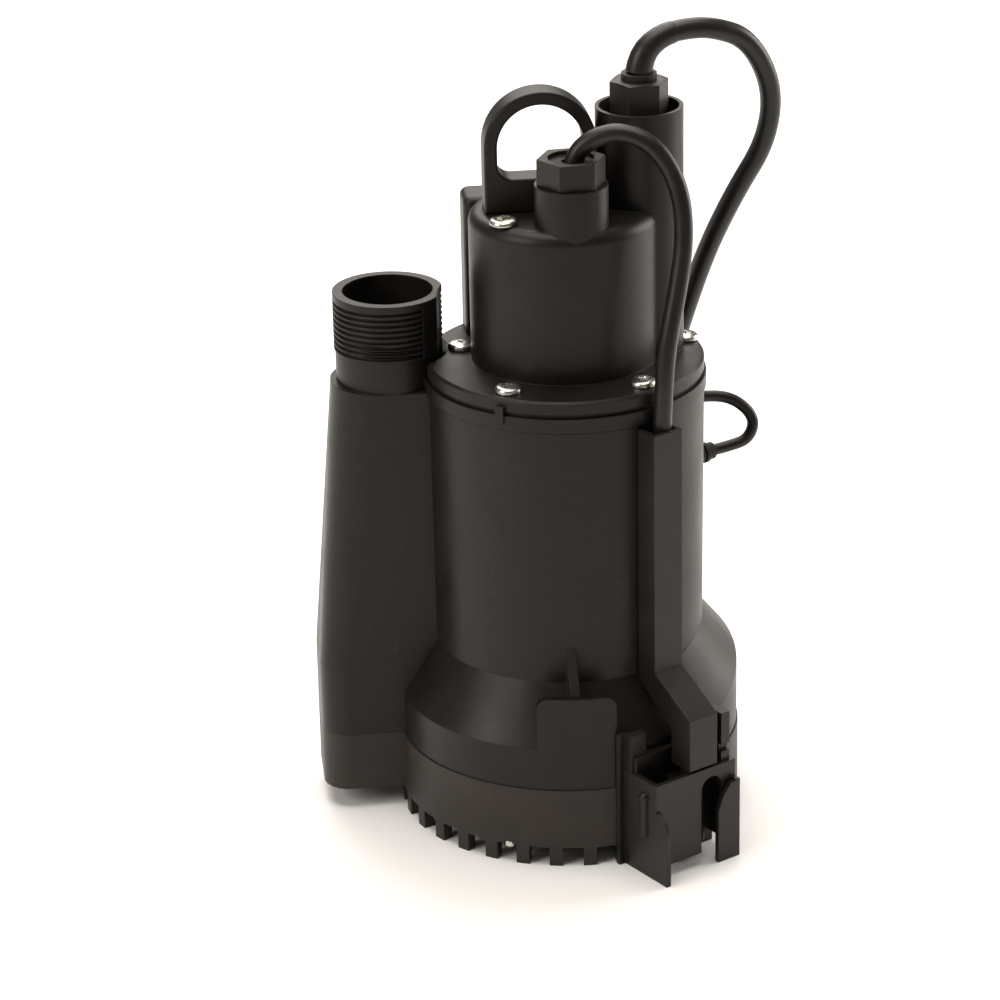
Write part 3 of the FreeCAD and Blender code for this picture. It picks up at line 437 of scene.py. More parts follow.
class Finishes:
    """Every finish on the pump, named for what it is."""

    # Glass-filled polypropylene, spark-eroded mould: near black with a warm cast and a broad satin sheen.
    HOUSING = Moulded("moulded_polypropylene_black", "#110f0d", "#1a1714", (0.36, 0.47), gloss=0.26,
                      scuff="#3a3631", scuff_share=0.3)
    # The same stock in the strainer, handled more: drier and a shade browner.
    BASE = Moulded("moulded_polypropylene_dusty", "#26211d", "#342d28", (0.42, 0.56), gloss=0.28,
                   scuff="#47413b", scuff_share=0.45)
    # Smooth ABS fittings: a little glossier and browner than the housing.
    FITTING = Moulded("moulded_abs_black", "#191614", "#231f1c", (0.33, 0.44), gloss=0.28, grain_mm=0.7,
                      scuff="#3c3732")
    # Glass-filled nylon nuts: brownish black, dry.
    NUT = Moulded("moulded_nylon_brown_black", "#1b1613", "#241e1a", (0.38, 0.50), gloss=0.3, grain_mm=0.6,
                  scuff="#413a33")
    # Extruded PVC cord jacket: smooth, near black, satin.
    JACKET = Finish("extruded_pvc_jacket", "#141211", "#1c1a18", (0.33, 0.42), patch_mm=9.0, grain_mm=1.6,
                    grain_height=0.03, edge_mm=0.2, gloss=0.34)
    # Moulded rubber: matt and soft-edged.
    RUBBER = Finish("moulded_rubber", "#161514", "#201e1c", (0.50, 0.62), patch_mm=6.0, grain_mm=0.8,
                    gloss=0.3)
    # Hook and loop strap: dull woven nylon.
    STRAP = Layered("woven_nylon_strap", "#222120", "#33302e", (0.75, 0.9), stripe_mm=0.8, grain_height=0.12)
    # Bright zinc plate on steel: pale, cool, cloudy.
    ZINC = Speckled("zinc_plated_steel", "#d8d6d0", "#b9b6ae", (0.20, 0.34), metallic=1.0, patch_mm=2.5,
                    grain_mm=0.5, grain_height=0.006, edge_mm=0.15)
    # Ground stainless steel: fine circular lines.
    STAINLESS = Layered("ground_stainless_steel", "#c9c8c6", "#aeadab", (0.22, 0.34), metallic=1.0,
                        stripe_mm=0.4, grain_height=0.004, edge_mm=0.15)
    # Through-hardened bearing steel: polished.
    BEARING = Finish("polished_bearing_steel", "#cfcfd1", "#bcbcc0", (0.10, 0.20), metallic=1.0, patch_mm=5.0,
                     grain_mm=0.5, grain_height=0.002, edge_mm=0.15)
    # Silicon steel laminations, drawn at 1 mm although they are half that, so that they show.
    LAMINATION = Layered("stacked_silicon_steel", "#8a8b90", "#6c6d72", (0.34, 0.48), metallic=1.0,
                         stripe_mm=1.0, grain_height=0.06)
    # Enamelled copper wire, wound and varnished.
    COPPER = Layered("enamelled_copper_wire", "#a8552a", "#7d3a1b", (0.25, 0.38), metallic=1.0,
                     stripe_mm=1.1, grain_height=0.25)
    # Die-cast aluminium: pale grey with a fine orange-peel.
    CAST = Speckled("die_cast_aluminium", "#b9bbbd", "#9c9ea1", (0.38, 0.52), metallic=1.0, grain_mm=0.8,
                    grain_height=0.03)
    # Glass-filled nylon impeller: dark grey, dry.
    IMPELLER = Moulded("moulded_glass_filled_nylon", "#3a3937", "#474542", (0.48, 0.62), grain_mm=0.5)
    # Machined brass.
    BRASS = Layered("machined_brass", "#c49a4a", "#a88038", (0.22, 0.34), metallic=1.0, stripe_mm=0.4,
                    grain_height=0.004, edge_mm=0.15)
    # Tinned brass tabs: pale and slightly yellow.
    TINNED = Finish("tinned_brass", "#c8c2ae", "#b3ad99", (0.28, 0.4), metallic=1.0, patch_mm=3.0)
    # Lapped alumina ceramic: ivory and glossy.
    CERAMIC = Finish("lapped_alumina", "#e2ddd2", "#d5cfc2", (0.12, 0.2), ior=1.76, patch_mm=4.0,
                     grain_height=0.003)
    # Lapped carbon graphite: dark and faintly shiny.
    CARBON = Finish("lapped_carbon_graphite", "#2a2b2d", "#36373a", (0.3, 0.42), patch_mm=3.0, grain_mm=0.5)
    # Capacitor can: smooth grey polypropylene.
    CAN = Finish("smooth_grey_polypropylene", "#8f9194", "#84868a", (0.25, 0.34), grain_height=0.006)
    # Circuit board: glass epoxy under green solder mask.
    BOARD = Finish("green_solder_mask", "#12482b", "#0e3b23", (0.2, 0.3), patch_mm=6.0, grain_mm=1.2)
    # Relay case: smooth blue polycarbonate.
    RELAY = Finish("smooth_blue_polycarbonate", "#1f3f7d", "#1a376e", (0.18, 0.28), ior=1.58,
                   grain_height=0.005)
    # Thermal protector: brown-black phenolic.
    PHENOLIC = Finish("moulded_phenolic", "#35302c", "#3f3934", (0.3, 0.42), patch_mm=5.0)


@dataclass
class Wardrobe:
    """Which finish each CAD node wears.

    Attributes:
        finishes: CAD node to its finish.
    """

    finishes: dict[str, Finish] = field(default_factory=lambda: {
        **dict.fromkeys(("pump_housing", "top_cap", "carry_handle"), Finishes.HOUSING),
        **dict.fromkeys(("strainer_base", "seal_plate"), Finishes.BASE),
        **dict.fromkeys(("cable_channel", "sensor_bracket", "level_sensor"), Finishes.FITTING),
        **dict.fromkeys(("power_gland_nut", "switch_gland_nut"), Finishes.NUT),
        **dict.fromkeys(("case_seal", "cap_gasket", "power_grommet", "switch_grommet", "lead_boots",
                         "plug_body"), Finishes.RUBBER),
        **dict.fromkeys(("power_cord", "power_cord_tail", "power_cord_coil", "switch_cord", "motor_lead"),
                        Finishes.JACKET),
        "coil_tie": Finishes.STRAP,
        **dict.fromkeys(("flange_screws", "base_screws", "oil_plug"), Finishes.ZINC),
        **dict.fromkeys(("shaft", "seal_spring", "sensor_probes"), Finishes.STAINLESS),
        **dict.fromkeys((f"{place}_bearing_{part}" for place in ("lower", "upper")
                         for part in ("outer", "inner", "balls")), Finishes.BEARING),
        **dict.fromkeys(("stator_core", "rotor_core"), Finishes.LAMINATION),
        **dict.fromkeys(("lower_winding", "upper_winding"), Finishes.COPPER),
        **dict.fromkeys(("bearing_plate", "rotor_end_rings"), Finishes.CAST),
        "impeller": Finishes.IMPELLER,
        **dict.fromkeys(("impeller_nut", "plug_blades"), Finishes.BRASS),
        "capacitor_terminals": Finishes.TINNED, "seal_seat": Finishes.CERAMIC,
        "seal_rotor": Finishes.CARBON, "capacitor": Finishes.CAN, "control_board": Finishes.BOARD,
        "relay": Finishes.RELAY, "thermal_protector": Finishes.PHENOLIC,
    })

    def dress(self, nodes: dict[str, bpy.types.Object]) -> None:
        """Gives every CAD node its material.

        Args:
            nodes: CAD node name to its object.
        """
        for name, piece in nodes.items():
            wear(piece, self.finishes[name])
            LOG.info("dressed %s in %s", name, self.finishes[name].name)


def wear(piece: bpy.types.Object, finish: Finish) -> None:
    """Gives an object one finish all over."""
    piece.data.materials.clear()
    piece.data.materials.append(finish.material())


def place(piece: bpy.types.Object, finish: Finish, slot: str,
          stands_for: Sequence[str] = ()) -> bpy.types.Object:
    """Gives a new piece its material and hides the CAD nodes that it stands for; it rides on the pump.

    Args:
        piece: the new object, already settled.
        finish: its finish.
        slot: not used.
        stands_for: CAD nodes that it replaces.

    Returns:
        The same object.
    """
    wear(piece, finish)
    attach(piece, FIXED_BODY)
    if stands_for:
        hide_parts(*stands_for)
    LOG.info("made %s", piece.name)
    return piece


# ---- the camera, floor and lights ---------------------------------------------------


@dataclass
class Studio:
    """A pale floor, soft boxes and the camera, 1.3 m in front of the pump and above it.

    Attributes:
        eye: the camera's place.
        swing: degrees that it looks to the right of straight ahead.
        tilt: degrees that it looks down.
        roll: degrees that it leans.
        lens: focal length for a 36 mm sensor, in millimetres.
        lamp: colour of the soft boxes, a little warm.
        aim: what the soft boxes face.
        room: strength of the room's own light.
    """

    eye: Point = (-0.1609, -1.2857, 0.6653)
    swing: float = 6.0
    tilt: float = 22.66
    roll: float = -1.18
    lens: float = 130.9
    lamp: str = "#fff8f0"
    aim: Point = (0.0, 0.0, 0.14)
    room: float = 0.2

    def camera(self) -> None:
        """Adds the camera."""
        a, e, r = (math.radians(v) for v in (self.swing, self.tilt, self.roll))
        ahead = Vector((math.cos(e) * math.sin(a), math.cos(e) * math.cos(a), -math.sin(e)))
        right = Vector((math.cos(a), -math.sin(a), 0))
        up = right.cross(ahead)
        across = math.cos(r) * right + math.sin(r) * up
        above = math.cos(r) * up - math.sin(r) * right
        data = bpy.data.cameras.new("camera")
        data.lens, data.sensor_width = self.lens, 36.0
        data.clip_start, data.clip_end = 0.05, 20.0
        camera = bpy.data.objects.new("camera", data)
        turn = Matrix((across, above, -ahead)).transposed().to_4x4()
        camera.matrix_world = Matrix.Translation(self.eye) @ turn
        bpy.context.collection.objects.link(camera)
        bpy.context.scene.camera = camera

    def floor(self) -> None:
        """Adds the floor, pale and matt."""
        deselect_all()
        bpy.ops.mesh.primitive_plane_add(size=8.0, location=(0, 0, 0))
        floor = settle(bpy.context.object, "studio_floor")
        floor.location.z = CAD_BOX[0].z
        paper = bpy.data.materials.new("studio_paper")
        paper.use_nodes = True
        shader = paper.node_tree.nodes["Principled BSDF"]
        shader.inputs["Base Color"].default_value = linear("#f4f4f3")
        shader.inputs["Roughness"].default_value = 0.9
        floor.data.materials.append(paper)

    def soft_box(self, name: str, spot: Point, size: float, watts: float) -> None:
        """Adds a square soft box that faces the pump.

        Args:
            name: the light's name.
            spot: where it hangs.
            size: side length.
            watts: its power.
        """
        data = bpy.data.lights.new(name, "AREA")
        data.size, data.energy = size, watts
        data.color = linear(self.lamp)[:3]
        light = bpy.data.objects.new(name, data)
        light.location = spot
        light.rotation_euler = (Vector(self.aim) - Vector(spot)).to_track_quat("-Z", "Y").to_euler()
        bpy.context.collection.objects.link(light)

    def light(self) -> None:
        """Adds the soft boxes and the room's own light."""
        self.soft_box("key_box", (-1.15, -0.55, 0.85), 0.7, 9.0)
        self.soft_box("rim_box", (1.2, 0.4, 0.5), 0.8, 12.5)
        self.soft_box("top_box", (-0.1, 0.1, 1.7), 1.4, 30.0)
        self.soft_box("back_wash", (0.0, 1.5, 1.5), 1.6, 30.0)
        world = bpy.data.worlds.new("studio_room")
        world.use_nodes = True
        backdrop = world.node_tree.nodes["Background"]
        backdrop.inputs["Color"].default_value = linear("#ffffff")
        backdrop.inputs["Strength"].default_value = self.room
        bpy.context.scene.world = world
        bpy.context.scene.view_settings.view_transform = "Standard"

    def build(self) -> None:
        """Sets the whole studio up."""
        self.camera()
        self.floor()
        self.light()


# ---- cords ----------------------------------------------------------------------------


@dataclass
class Lead:
    """A round flexible lead on one smooth line.

    Attributes:
        name: the piece's name.
        radius: of the jacket.
        points: the route's points.
        finish: its finish.
    """

    name: str
    radius: float
    points: list[Point]
    finish: Finish = Finishes.JACKET

    def line(self, bevel: float) -> bpy.types.Object:
        """The lead's line as a curve object.

        Args:
            bevel: radius of the tube round it, or 0 for the bare line.

        Returns:
            The curve, not yet riding on a body.
        """
        curve = bpy.data.curves.new(self.name, "CURVE")
        curve.dimensions = "3D"
        curve.resolution_u = 8
        curve.bevel_depth, curve.bevel_resolution = bevel, 6
        curve.use_fill_caps = bevel > 0
        spline = curve.splines.new("NURBS")
        spline.points.add(len(self.points) - 1)
        for point, spot in zip(spline.points, self.points):
            point.co = (*spot, 1.0)
        spline.order_u = 3
        spline.use_endpoint_u = True
        spline.use_smooth = True
        piece = bpy.data.objects.new(self.name, curve)
        bpy.context.collection.objects.link(piece)
        return piece

    def followed(self) -> list[Vector]:
        """Points read from the lead's own smooth line."""
        bare = self.line(0.0)
        depsgraph = bpy.context.evaluated_depsgraph_get()
        mesh = bpy.data.meshes.new_from_object(bare.evaluated_get(depsgraph))
        spots = [v.co.copy() for v in mesh.vertices]
        bpy.data.meshes.remove(mesh)
        bpy.data.objects.remove(bare)
        return spots

    def sleeve(self, name: str, profile: Sequence[tuple[float, float]]) -> bpy.types.Object:
        """A sleeve that follows the lead from its start, with a radius that changes along it.

        Args:
            name: the piece's name.
            profile: (distance along the lead, radius) pairs.

        Returns:
            The sleeve as a mesh object.
        """
        spots = self.followed()
        curve = bpy.data.curves.new(name, "CURVE")
        curve.dimensions = "3D"
        curve.bevel_depth, curve.bevel_resolution = 1.0, 8
        curve.use_fill_caps = True
        spline = curve.splines.new("POLY")
        spline.points.add(len(profile) - 1)
        for point, (distance, radius) in zip(spline.points, profile):
            point.co = (*point_along(spots, distance), 1.0)
            point.radius = radius
        piece = bpy.data.objects.new(name, curve)
        bpy.context.collection.objects.link(piece)
        make_active(piece)
        bpy.ops.object.convert(target="MESH")
        piece = bpy.context.object
        smooth(piece, 40.0)
        return settle(piece, name)


def point_along(spots: Sequence[Vector], distance: float) -> Vector:
    """The point that far along a line of points, or its last point."""
    passed = 0.0
    for a, b in zip(spots, spots[1:]):
        step = (b - a).length
        if passed + step >= distance:
            return a.lerp(b, (distance - passed) / max(step, 1e-9))
        passed += step
    return spots[-1]


def swung(direction: float, out: float, across: float, z: float) -> Point:
    """A point of the sensor mounting, given in the mounting's own frame.

    Args:
        direction: where the mounting faces, in degrees about the shaft.
        out: distance from the shaft, in millimetres.
        across: distance sideways, in millimetres.
        z: height, in millimetres.

    Returns:
        The point in the pump's frame, in millimetres.
    """
    c, s = math.cos(math.radians(direction)), math.sin(math.radians(direction))
    return (c * out - s * across, s * out + c * across, z)


@dataclass
class PowerLead:
    """The mains lead: out of its gland, down the back, wound up and into its plug.

    Attributes:
        radius: of the jacket.
        drop: the stretch from the gland to the coil.
        tail: the stretch from the coil to the plug.
        coil_centre: middle of the coil on the floor.
        turn_radii: radius of the coil's inner and outer turns.
        layer_heights: heights of the coil's layers, from the top down.
        first_angle: where the drop joins the coil, in degrees.
        last_angle: total angle to where the tail leaves it.
        steps: points on the coil.
        relief: (distance along the lead, radius) of the strain relief, from the nut outwards.
        length: of the whole lead, in metres.
    """

    radius: float = 4.0
    drop: tuple[Point, ...] = (
        (29.6, 4.0, 292.0), (30.5, 4.2, 298.6), (37.5, 5.8, 304.8), (47.0, 8.0, 306.6),
        (58.5, 10.8, 305.9), (73.0, 15.0, 299.5), (83.0, 19.0, 279.0), (81.0, 22.5, 257.0),
        (71.0, 30.0, 236.0), (62.0, 40.0, 211.0), (56.0, 51.0, 185.0), (50.0, 61.0, 157.0),
        (44.5, 69.0, 126.0), (43.5, 76.0, 96.0), (47.0, 84.5, 68.0), (53.0, 96.5, 45.0),
        (59.3, 111.0, 31.5), (61.4, 124.0, 28.4))
    tail: tuple[Point, ...] = (
        (14.0, 184.0, 4.4), (-8.0, 184.0, 4.4), (-30.0, 178.5, 4.8), (-50.0, 166.0, 6.0),
        (-65.0, 148.0, 8.5), (-73.0, 129.0, 11.5), (-75.0, 108.3, 13.6))
    coil_centre: tuple[float, float] = (15.0, 136.0)
    turn_radii: tuple[float, float] = (40.0, 48.0)
    layer_heights: tuple[float, ...] = (28.4, 20.4, 12.4, 4.4)
    first_angle: float = -15.0
    last_angle: float = 2610.0
    steps: int = 132
    relief: tuple[tuple[float, float], ...] = (
        (0.0, 5.2), (3.0, 5.1), (6.0, 4.95), (9.0, 4.8), (12.0, 4.65), (15.0, 4.5), (18.0, 4.38),
        (21.0, 4.25), (21.5, 4.05))
    length: float = 2.5

    def turns(self) -> list[Point]:
        """The coil's points, two turns to a layer; each change of lane comes earlier than the one above."""
        inner, outer = self.turn_radii
        x, y = self.coil_centre
        lanes = []
        for i, z in enumerate(self.layer_heights):
            pair = [(outer, z), (inner, z)]
            lanes += pair if i % 2 == 0 else pair[::-1]
        sweep = self.last_angle - self.first_angle
        span = sweep / len(lanes)
        points = []
        for i in range(1, self.steps):
            angle = self.first_angle + sweep * i / self.steps
            lane = min(int((angle - self.first_angle) / span), len(lanes) - 1)
            share = min(1.0, ((angle - self.first_angle) - lane * span) / (360.0 - span))
            share = share * share * (3 - 2 * share)
            r0, z0 = lanes[max(lane - 1, 0)]
            r1, z1 = lanes[lane]
            r, z = r0 + (r1 - r0) * share, z0 + (z1 - z0) * share
            turn = math.radians(angle)
            points.append((x + r * math.cos(turn), y + r * math.sin(turn), z))
        return points

    def build(self) -> bpy.types.Object:
        """Makes the lead, its strain relief, its plug and its strap."""
        points = millimetres([*self.drop, *self.turns(), *self.tail])
        lead = Lead("power_lead", self.radius * MM, points)
        piece = place(lead.line(lead.radius), lead.finish, "cord_jacket",
                      stands_for=("power_cord", "power_cord_coil", "power_cord_tail"))
        relief = self.strain_relief(lead)
        plug = Plug().build()
        strap = CoilStrap().build()
        return piece

    def strain_relief(self, lead: Lead) -> bpy.types.Object:
        """A tapered collar that starts in the gland nut and follows the lead out of it."""
        taper = lead.sleeve("power_strain_relief", [(d * MM, r * MM) for d, r in self.relief])
        return place(taper, Finishes.JACKET, "black_rubber")


@dataclass
class Plug:
    """The moulded plug: a rounded body with grip grooves, two flat blades and a round earth pin.

    Attributes:
        grooves: number of grip grooves on each side.
        groove_depth: of one, in millimetres.
        groove_inset: from the body's top and underside.
        corner: radius of the body's long corners.
        rim: width of the raised rim round the cord's end.
        rim_height: of the rim.
        blade: thickness, width and length of a flat blade.
        hole: radius of a blade's locking hole and its distance from the body.
        pin: (radius, distance from the body) pairs of the earth pin.
    """

    grooves: int = 5
    groove_depth: float = 0.7
    groove_inset: float = 6.0
    corner: float = 6.5
    rim: float = 3.5
    rim_height: float = 0.5
    blade: Point = (1.5, 6.4, 16.0)
    hole: tuple[float, float] = (1.6, 12.5)
    pin: tuple[tuple[float, float], ...] = ((2.4, 0.0), (2.4, 15.5), (2.1, 17.2), (1.3, 18.2), (0.4, 18.5))

    def build(self) -> list[bpy.types.Object]:
        """Makes the body and the blades."""
        low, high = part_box("plug_body")
        body = bar(low, high)
        bpy.ops.object.mode_set(mode="EDIT")
        select_edges(body, lambda e: abs(e.verts[0].co.y - e.verts[1].co.y) > 0.02)
        bpy.ops.mesh.bevel(offset=self.corner * MM, segments=5)
        select_faces(body, lambda f: f.normal.y > 0.9)
        bpy.ops.mesh.inset(thickness=self.rim * MM)
        bpy.ops.mesh.extrude_region_move(TRANSFORM_OT_translate={"value": (0, -self.rim_height * MM, 0)})
        bpy.ops.object.mode_set(mode="OBJECT")
        settle(body, "plug_moulding")
        self.grip(body, low, high)
        rounded(body, 0.9 * MM, 3)
        place(body, Finishes.RUBBER, "black_rubber", stands_for=("plug_body",))
        return [body, self.blades()]

    def grip(self, body: bpy.types.Object, low: Vector, high: Vector) -> None:
        """Presses finger grooves into the body's long sides."""
        pitch = (high.y - low.y) / (self.grooves + 2)
        depth, inset = self.groove_depth * MM, self.groove_inset * MM
        for side in (low.x, high.x):
            for i in range(self.grooves):
                y = low.y + (i + 1.5) * pitch
                groove = bar((side - depth, y, low.z + inset),
                             (side + depth, y + 0.5 * pitch, high.z - inset))
                cut_away(body, groove)

    def blades(self) -> bpy.types.Object:
        """Flat blades with their locking holes, and the earth pin with a round tip."""
        low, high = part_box("plug_blades")
        left, root = low.x, high.y
        thick, wide, long = (v * MM for v in self.blade)
        hole, reach = (v * MM for v in self.hole)
        parts = []
        for z in (low.z, high.z - thick):
            blade = bar((left, root - long, z), (left + wide, root, z + thick))
            deselect_all()
            bpy.ops.mesh.primitive_cylinder_add(vertices=20, radius=hole, depth=4 * thick,
                                                location=(left + wide / 2, root - reach, z + thick / 2))
            cut_away(blade, bpy.context.object)
            rounded(blade, 0.3 * MM, 2)
            parts.append(blade)
        pin = turned((0, 0, 0), [(r * MM, d * MM) for r, d in self.pin], sides=28)
        pin.rotation_euler = (math.radians(90), 0, 0)
        pin.location = (high.x - self.pin[0][0] * MM, root, (low.z + high.z) / 2)
        make_active(pin)
        bpy.ops.object.transform_apply(location=True, rotation=True, scale=True)
        smooth(pin, 50.0)
        parts.append(pin)
        piece = settle(joined(parts), "plug_blade_set")
        return place(piece, Finishes.BRASS, "yellow_brass", stands_for=("plug_blades",))


@dataclass
class CoilStrap:
    """A hook and loop strap round the wound lead, open to the floor.

    Attributes:
        thickness: of the strap.
        corner: radius of its outer corners.
    """

    thickness: float = 1.2
    corner: float = 4.6

    def build(self) -> bpy.types.Object:
        """Makes the strap as a rounded band, hollowed from below."""
        low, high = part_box("coil_tie")
        t = self.thickness * MM
        band = settle(self.arch(low, high, self.corner), "coil_strap")
        hollow = self.arch((low.x + t, low.y - t, low.z - t), (high.x - t, high.y + t, high.z - t),
                           self.corner - 1.0)
        cut_away(band, hollow)
        rounded(band, 0.25 * MM, 2)
        return place(band, Finishes.STRAP, "tie_nylon", stands_for=("coil_tie",))

    def arch(self, low: Point, high: Point, corner: float) -> bpy.types.Object:
        """A box with its two upper long corners rounded."""
        piece = bar(low, high)
        half = (high[1] - low[1]) / 2
        bpy.ops.object.mode_set(mode="EDIT")
        select_edges(piece, lambda e: abs(e.verts[0].co.y - e.verts[1].co.y) > half
                     and (e.verts[0].co.z + e.verts[1].co.z) / 2 > 0)
        bpy.ops.mesh.bevel(offset=corner * MM, segments=6)
        bpy.ops.object.mode_set(mode="OBJECT")
        return piece


@dataclass
class SwitchLead:
    """The level switch's lead: out of the front gland, over and down its channel to the sensor.

    Attributes:
        radius: of the jacket.
        facing: where the sensor mounting faces, in degrees.
        length: of the lead, in metres.
        free: the route's points from the gland to the channel, in the pump's frame.
        channel: its points down the channel, in the mounting's own frame.
    """

    radius: float = 3.5
    facing: float = -60.0
    length: float = 0.28
    free: tuple[Point, ...] = (
        (0.6, -21.5, 262.0), (1.4, -21.5, 269.0), (8.5, -22.3, 275.8), (19.5, -24.6, 278.6),
        (31.5, -29.0, 273.0), (39.2, -33.5, 258.5), (40.2, -38.0, 240.5), (36.6, -42.5, 221.5),
        (32.2, -46.8, 203.5))
    channel: tuple[Point, ...] = (
        (57.9, 1.6, 186.0), (57.2, 1.2, 158.0), (57.0, 0.6, 127.0), (56.8, 0.0, 97.0), (56.8, 0.0, 79.0),
        (62.0, 0.0, 68.8), (73.0, 0.0, 61.6), (77.9, 0.0, 53.5), (77.9, 0.0, 42.0))

    def points(self) -> list[Point]:
        """The lead's whole route, in metres."""
        return millimetres([*self.free, *(swung(self.facing, *spot) for spot in self.channel)])

    def build(self) -> bpy.types.Object:
        """Makes the lead."""
        lead = Lead("switch_lead", self.radius * MM, self.points())
        piece = place(lead.line(lead.radius), lead.finish, "cord_jacket", stands_for=("switch_cord",))
        return piece


@dataclass
class ThinLead:
    """The thin lead that loops out of the housing and back in, at the back on the right.

    Attributes:
        radius: of the jacket.
        length: of the lead, in metres.
        route: its points.
    """

    radius: float = 2.3
    length: float = 0.064
    route: tuple[Point, ...] = (
        (52.0, 38.2, 148.0), (63.0, 40.6, 148.2), (73.0, 39.2, 146.2), (80.3, 36.8, 138.7),
        (77.6, 35.0, 130.7), (70.0, 34.8, 128.3), (62.0, 33.5, 127.2), (54.5, 29.5, 127.2))

    def build(self) -> bpy.types.Object:
        """Makes the lead."""
        lead = Lead("thin_lead", self.radius * MM, millimetres(self.route))
        piece = place(lead.line(lead.radius), lead.finish, "cord_jacket", stands_for=("motor_lead",))
        return piece


# ---- screws ------------------------------------------------------------------------------


THREAD_PITCH = 0.7         # of the small screws, in millimetres
HEAD_PROFILE = ((0.96, 0.0), (1.0, 0.12), (1.0, 0.42), (0.95, 0.66), (0.84, 0.83), (0.66, 0.94), (0.4, 0.99),
                (0.1, 1.0))          # radius and height of a pan head, as shares of its own


@dataclass
class PanScrew:
    """A pan head machine screw.

    Attributes:
        head_radius: of the head, in millimetres.
        head_height: of the head.
        shank_radius: of the thread.
        length: under the head.
        turn: how far the recess is turned, in degrees.
        recess: what takes the driver.
    """

    head_radius: float
    head_height: float
    shank_radius: float
    length: float
    turn: float = 0.0
    recess: Recess = Recess.CROSS

    def build(self, spot: Point) -> bpy.types.Object:
        """Makes the screw standing with its head's underside at spot.

        Args:
            spot: in metres.

        Returns:
            The screw as one mesh.
        """
        r, h = self.head_radius * MM, self.head_height * MM
        shank, tip, pitch = self.shank_radius * MM, -self.length * MM, THREAD_PITCH * MM
        z = tip + 0.6 * MM
        profile = [(shank * 0.7, tip), (shank, z)]
        while z < -1.6 * MM:
            profile += [(shank * 0.84, z + pitch / 2), (shank, z + pitch)]
            z += pitch
        profile += [(shank, -0.05 * MM), *((r * out, h * up) for out, up in HEAD_PROFILE)]
        screw = turned(spot, profile, sides=32)
        cutters = self.cross() if self.recess is Recess.CROSS else [self.socket()]
        for cutter in cutters:
            cutter.location = (spot[0], spot[1], spot[2] + h)
            cut_away(screw, cutter)
        smooth(screw, 32.0)
        return screw

    def cross(self) -> list[bpy.types.Object]:
        """Makes the two tapered blades of a cross driver, at the origin."""
        r, h = self.head_radius * MM, self.head_height * MM
        blades = []
        for quarter in (0, 90):
            blade = bar((-0.46 * r, -0.1 * r, -0.62 * h), (0.46 * r, 0.1 * r, 0.5 * h))
            bpy.ops.object.mode_set(mode="EDIT")
            select_faces(blade, lambda f: f.normal.z < -0.9)
            bpy.ops.transform.resize(value=(0.45, 0.7, 1), center_override=(0, 0, 0))
            bpy.ops.object.mode_set(mode="OBJECT")
            blade.rotation_euler.z = math.radians(self.turn + quarter)
            blades.append(blade)
        return blades

    def socket(self) -> bpy.types.Object:
        """Makes the driver of a six-sided socket, at the origin."""
        deselect_all()
        bpy.ops.mesh.primitive_cylinder_add(vertices=6, radius=0.52 * self.head_radius * MM,
                                            depth=1.6 * self.head_height * MM)
        return bpy.context.object


@dataclass
class CapScrews:
    """The six screws that hold the cap down, and the filler screw on the dome.

    Attributes:
        spots: (degrees about the shaft, distance from it in millimetres).
        head: radius and height of a cap screw's head.
        filler_head: the same of the filler screw.
    """

    spots: tuple[tuple[float, float], ...] = ((-124.5, 45.5), (-57.5, 45.5), (9.5, 48.3), (60.0, 45.5),
                                              (112.0, 45.5), (163.0, 40.2))
    head: tuple[float, float] = (5.0, 2.6)
    filler_head: tuple[float, float] = (5.4, 2.4)

    def build(self) -> None:
        """Makes the screws."""
        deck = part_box("flange_screws")[1].z - self.head[1] * MM
        screws = []
        for i, (angle, out) in enumerate(self.spots):
            x, y = out * math.cos(math.radians(angle)) * MM, out * math.sin(math.radians(angle)) * MM
            screws.append(PanScrew(*self.head, 2.0, 20.0, turn=20 + 37 * i).build((x, y, deck)))
        piece = settle(joined(screws), "cap_screw_set")
        place(piece, Finishes.ZINC, "zinc_steel", stands_for=("flange_screws",))

    def filler(self) -> None:
        """Makes the oil filler screw."""
        low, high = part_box("oil_plug")
        x, y = (low.x + high.x) / 2, (low.y + high.y) / 2
        seat = high.z - self.filler_head[1] * MM
        screw = PanScrew(*self.filler_head, 3.0, 10.0, recess=Recess.SOCKET).build((x, y, seat))
        screw = settle(screw, "filler_screw")
        place(screw, Finishes.ZINC, "zinc_steel", stands_for=("oil_plug",))


# ---- motor windings -------------------------------------------------------------------------


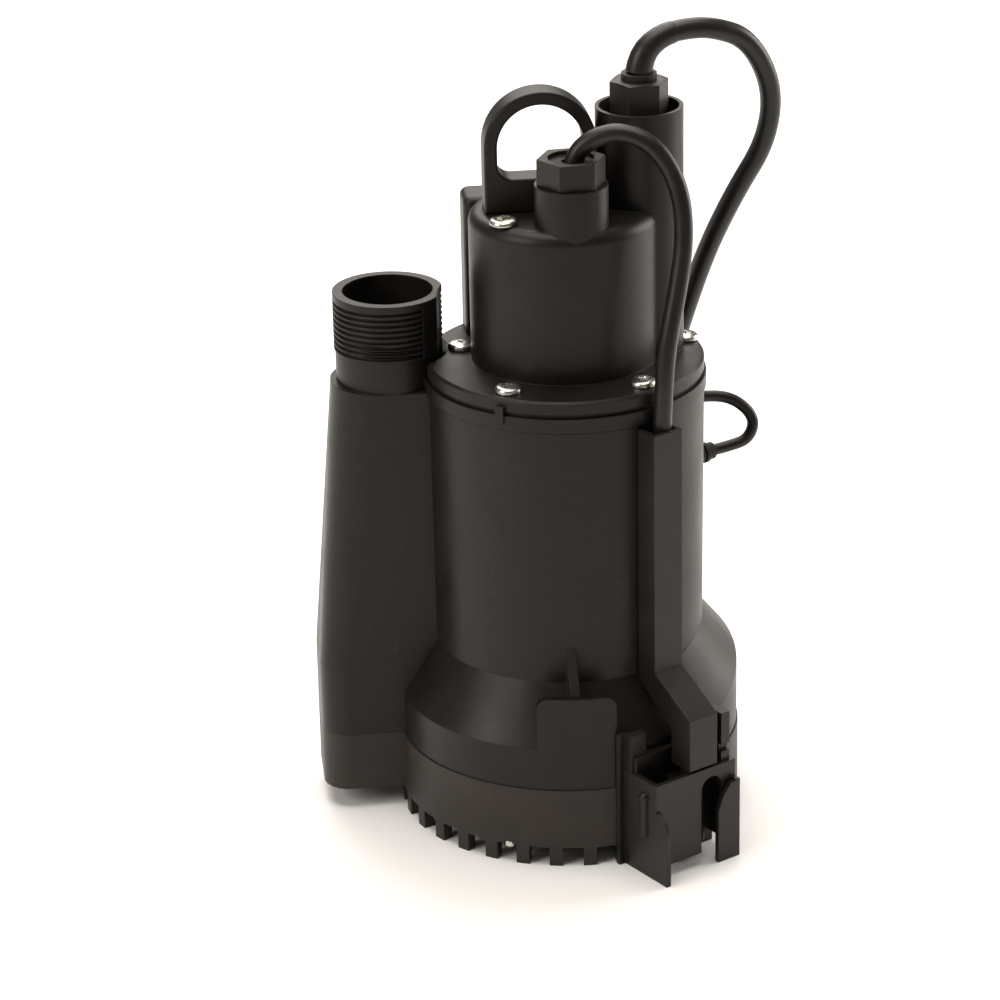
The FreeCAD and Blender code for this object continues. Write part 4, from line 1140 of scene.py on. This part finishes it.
@dataclass
class EndWinding:
    """The stator's end turns: bundles of enamelled wire, lashed all round.

    Attributes:
        node: the CAD node that it stands for.
        bundles: bundles round the middle one.
        bundle_radius: of one bundle, in millimetres.
        lashings: number of cord loops round the bundles.
        ring_radius: of the middle bundle's ring.
        spread: distance of the other bundles from the middle one.
        lashing: radius of a loop and of its cord.
    """

    node: str
    bundles: int = 6
    bundle_radius: float = 2.3
    lashings: int = 24
    ring_radius: float = 33.25
    spread: float = 4.3
    lashing: tuple[float, float] = (6.55, 0.4)

    def build(self) -> bpy.types.Object:
        """Makes the bundles and their lashing."""
        low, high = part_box(self.node)
        middle = (low.z + high.z) / 2
        across, spread = self.ring_radius * MM, self.spread * MM
        deselect_all()
        parts = [self.hoop(across, middle)]
        for i in range(self.bundles):
            turn = math.tau * i / self.bundles
            parts.append(self.hoop(across + spread * math.cos(turn), middle + spread * math.sin(turn)))
        loop, thread = (v * MM for v in self.lashing)
        for i in range(self.lashings):
            turn = math.tau * i / self.lashings
            bpy.ops.mesh.primitive_torus_add(
                major_radius=loop, minor_radius=thread, major_segments=20, minor_segments=6,
                location=(across * math.cos(turn), across * math.sin(turn), middle),
                rotation=(math.radians(90), 0.0, turn))
            parts.append(bpy.context.object)
        piece = settle(joined(parts), self.node.replace("_winding", "_end_winding"))
        smooth(piece, 60.0)
        return place(piece, Finishes.COPPER, "enamelled_copper", stands_for=(self.node,))

    def hoop(self, across: float, z: float) -> bpy.types.Object:
        """One bundle of wire round the bore."""
        bpy.ops.mesh.primitive_torus_add(major_radius=across, minor_radius=self.bundle_radius * MM,
                                         major_segments=64, minor_segments=12, location=(0, 0, z))
        return bpy.context.object


# ---- all together --------------------------------------------------------------------------


def main() -> None:
    """Builds the studio, then the cords, then the finishes and the small pieces."""
    logging.basicConfig(level=logging.INFO, format="%(name)s: %(message)s")
    Studio().build()
    Wardrobe().dress(frame["nodes"])
    PowerLead().build()
    SwitchLead().build()
    ThinLead().build()
    screws = CapScrews()
    screws.build()
    screws.filler()
    for node in ("lower_winding", "upper_winding"):
        EndWinding(node).build()
    deselect_all()


if __name__ == "__main__":
    main()
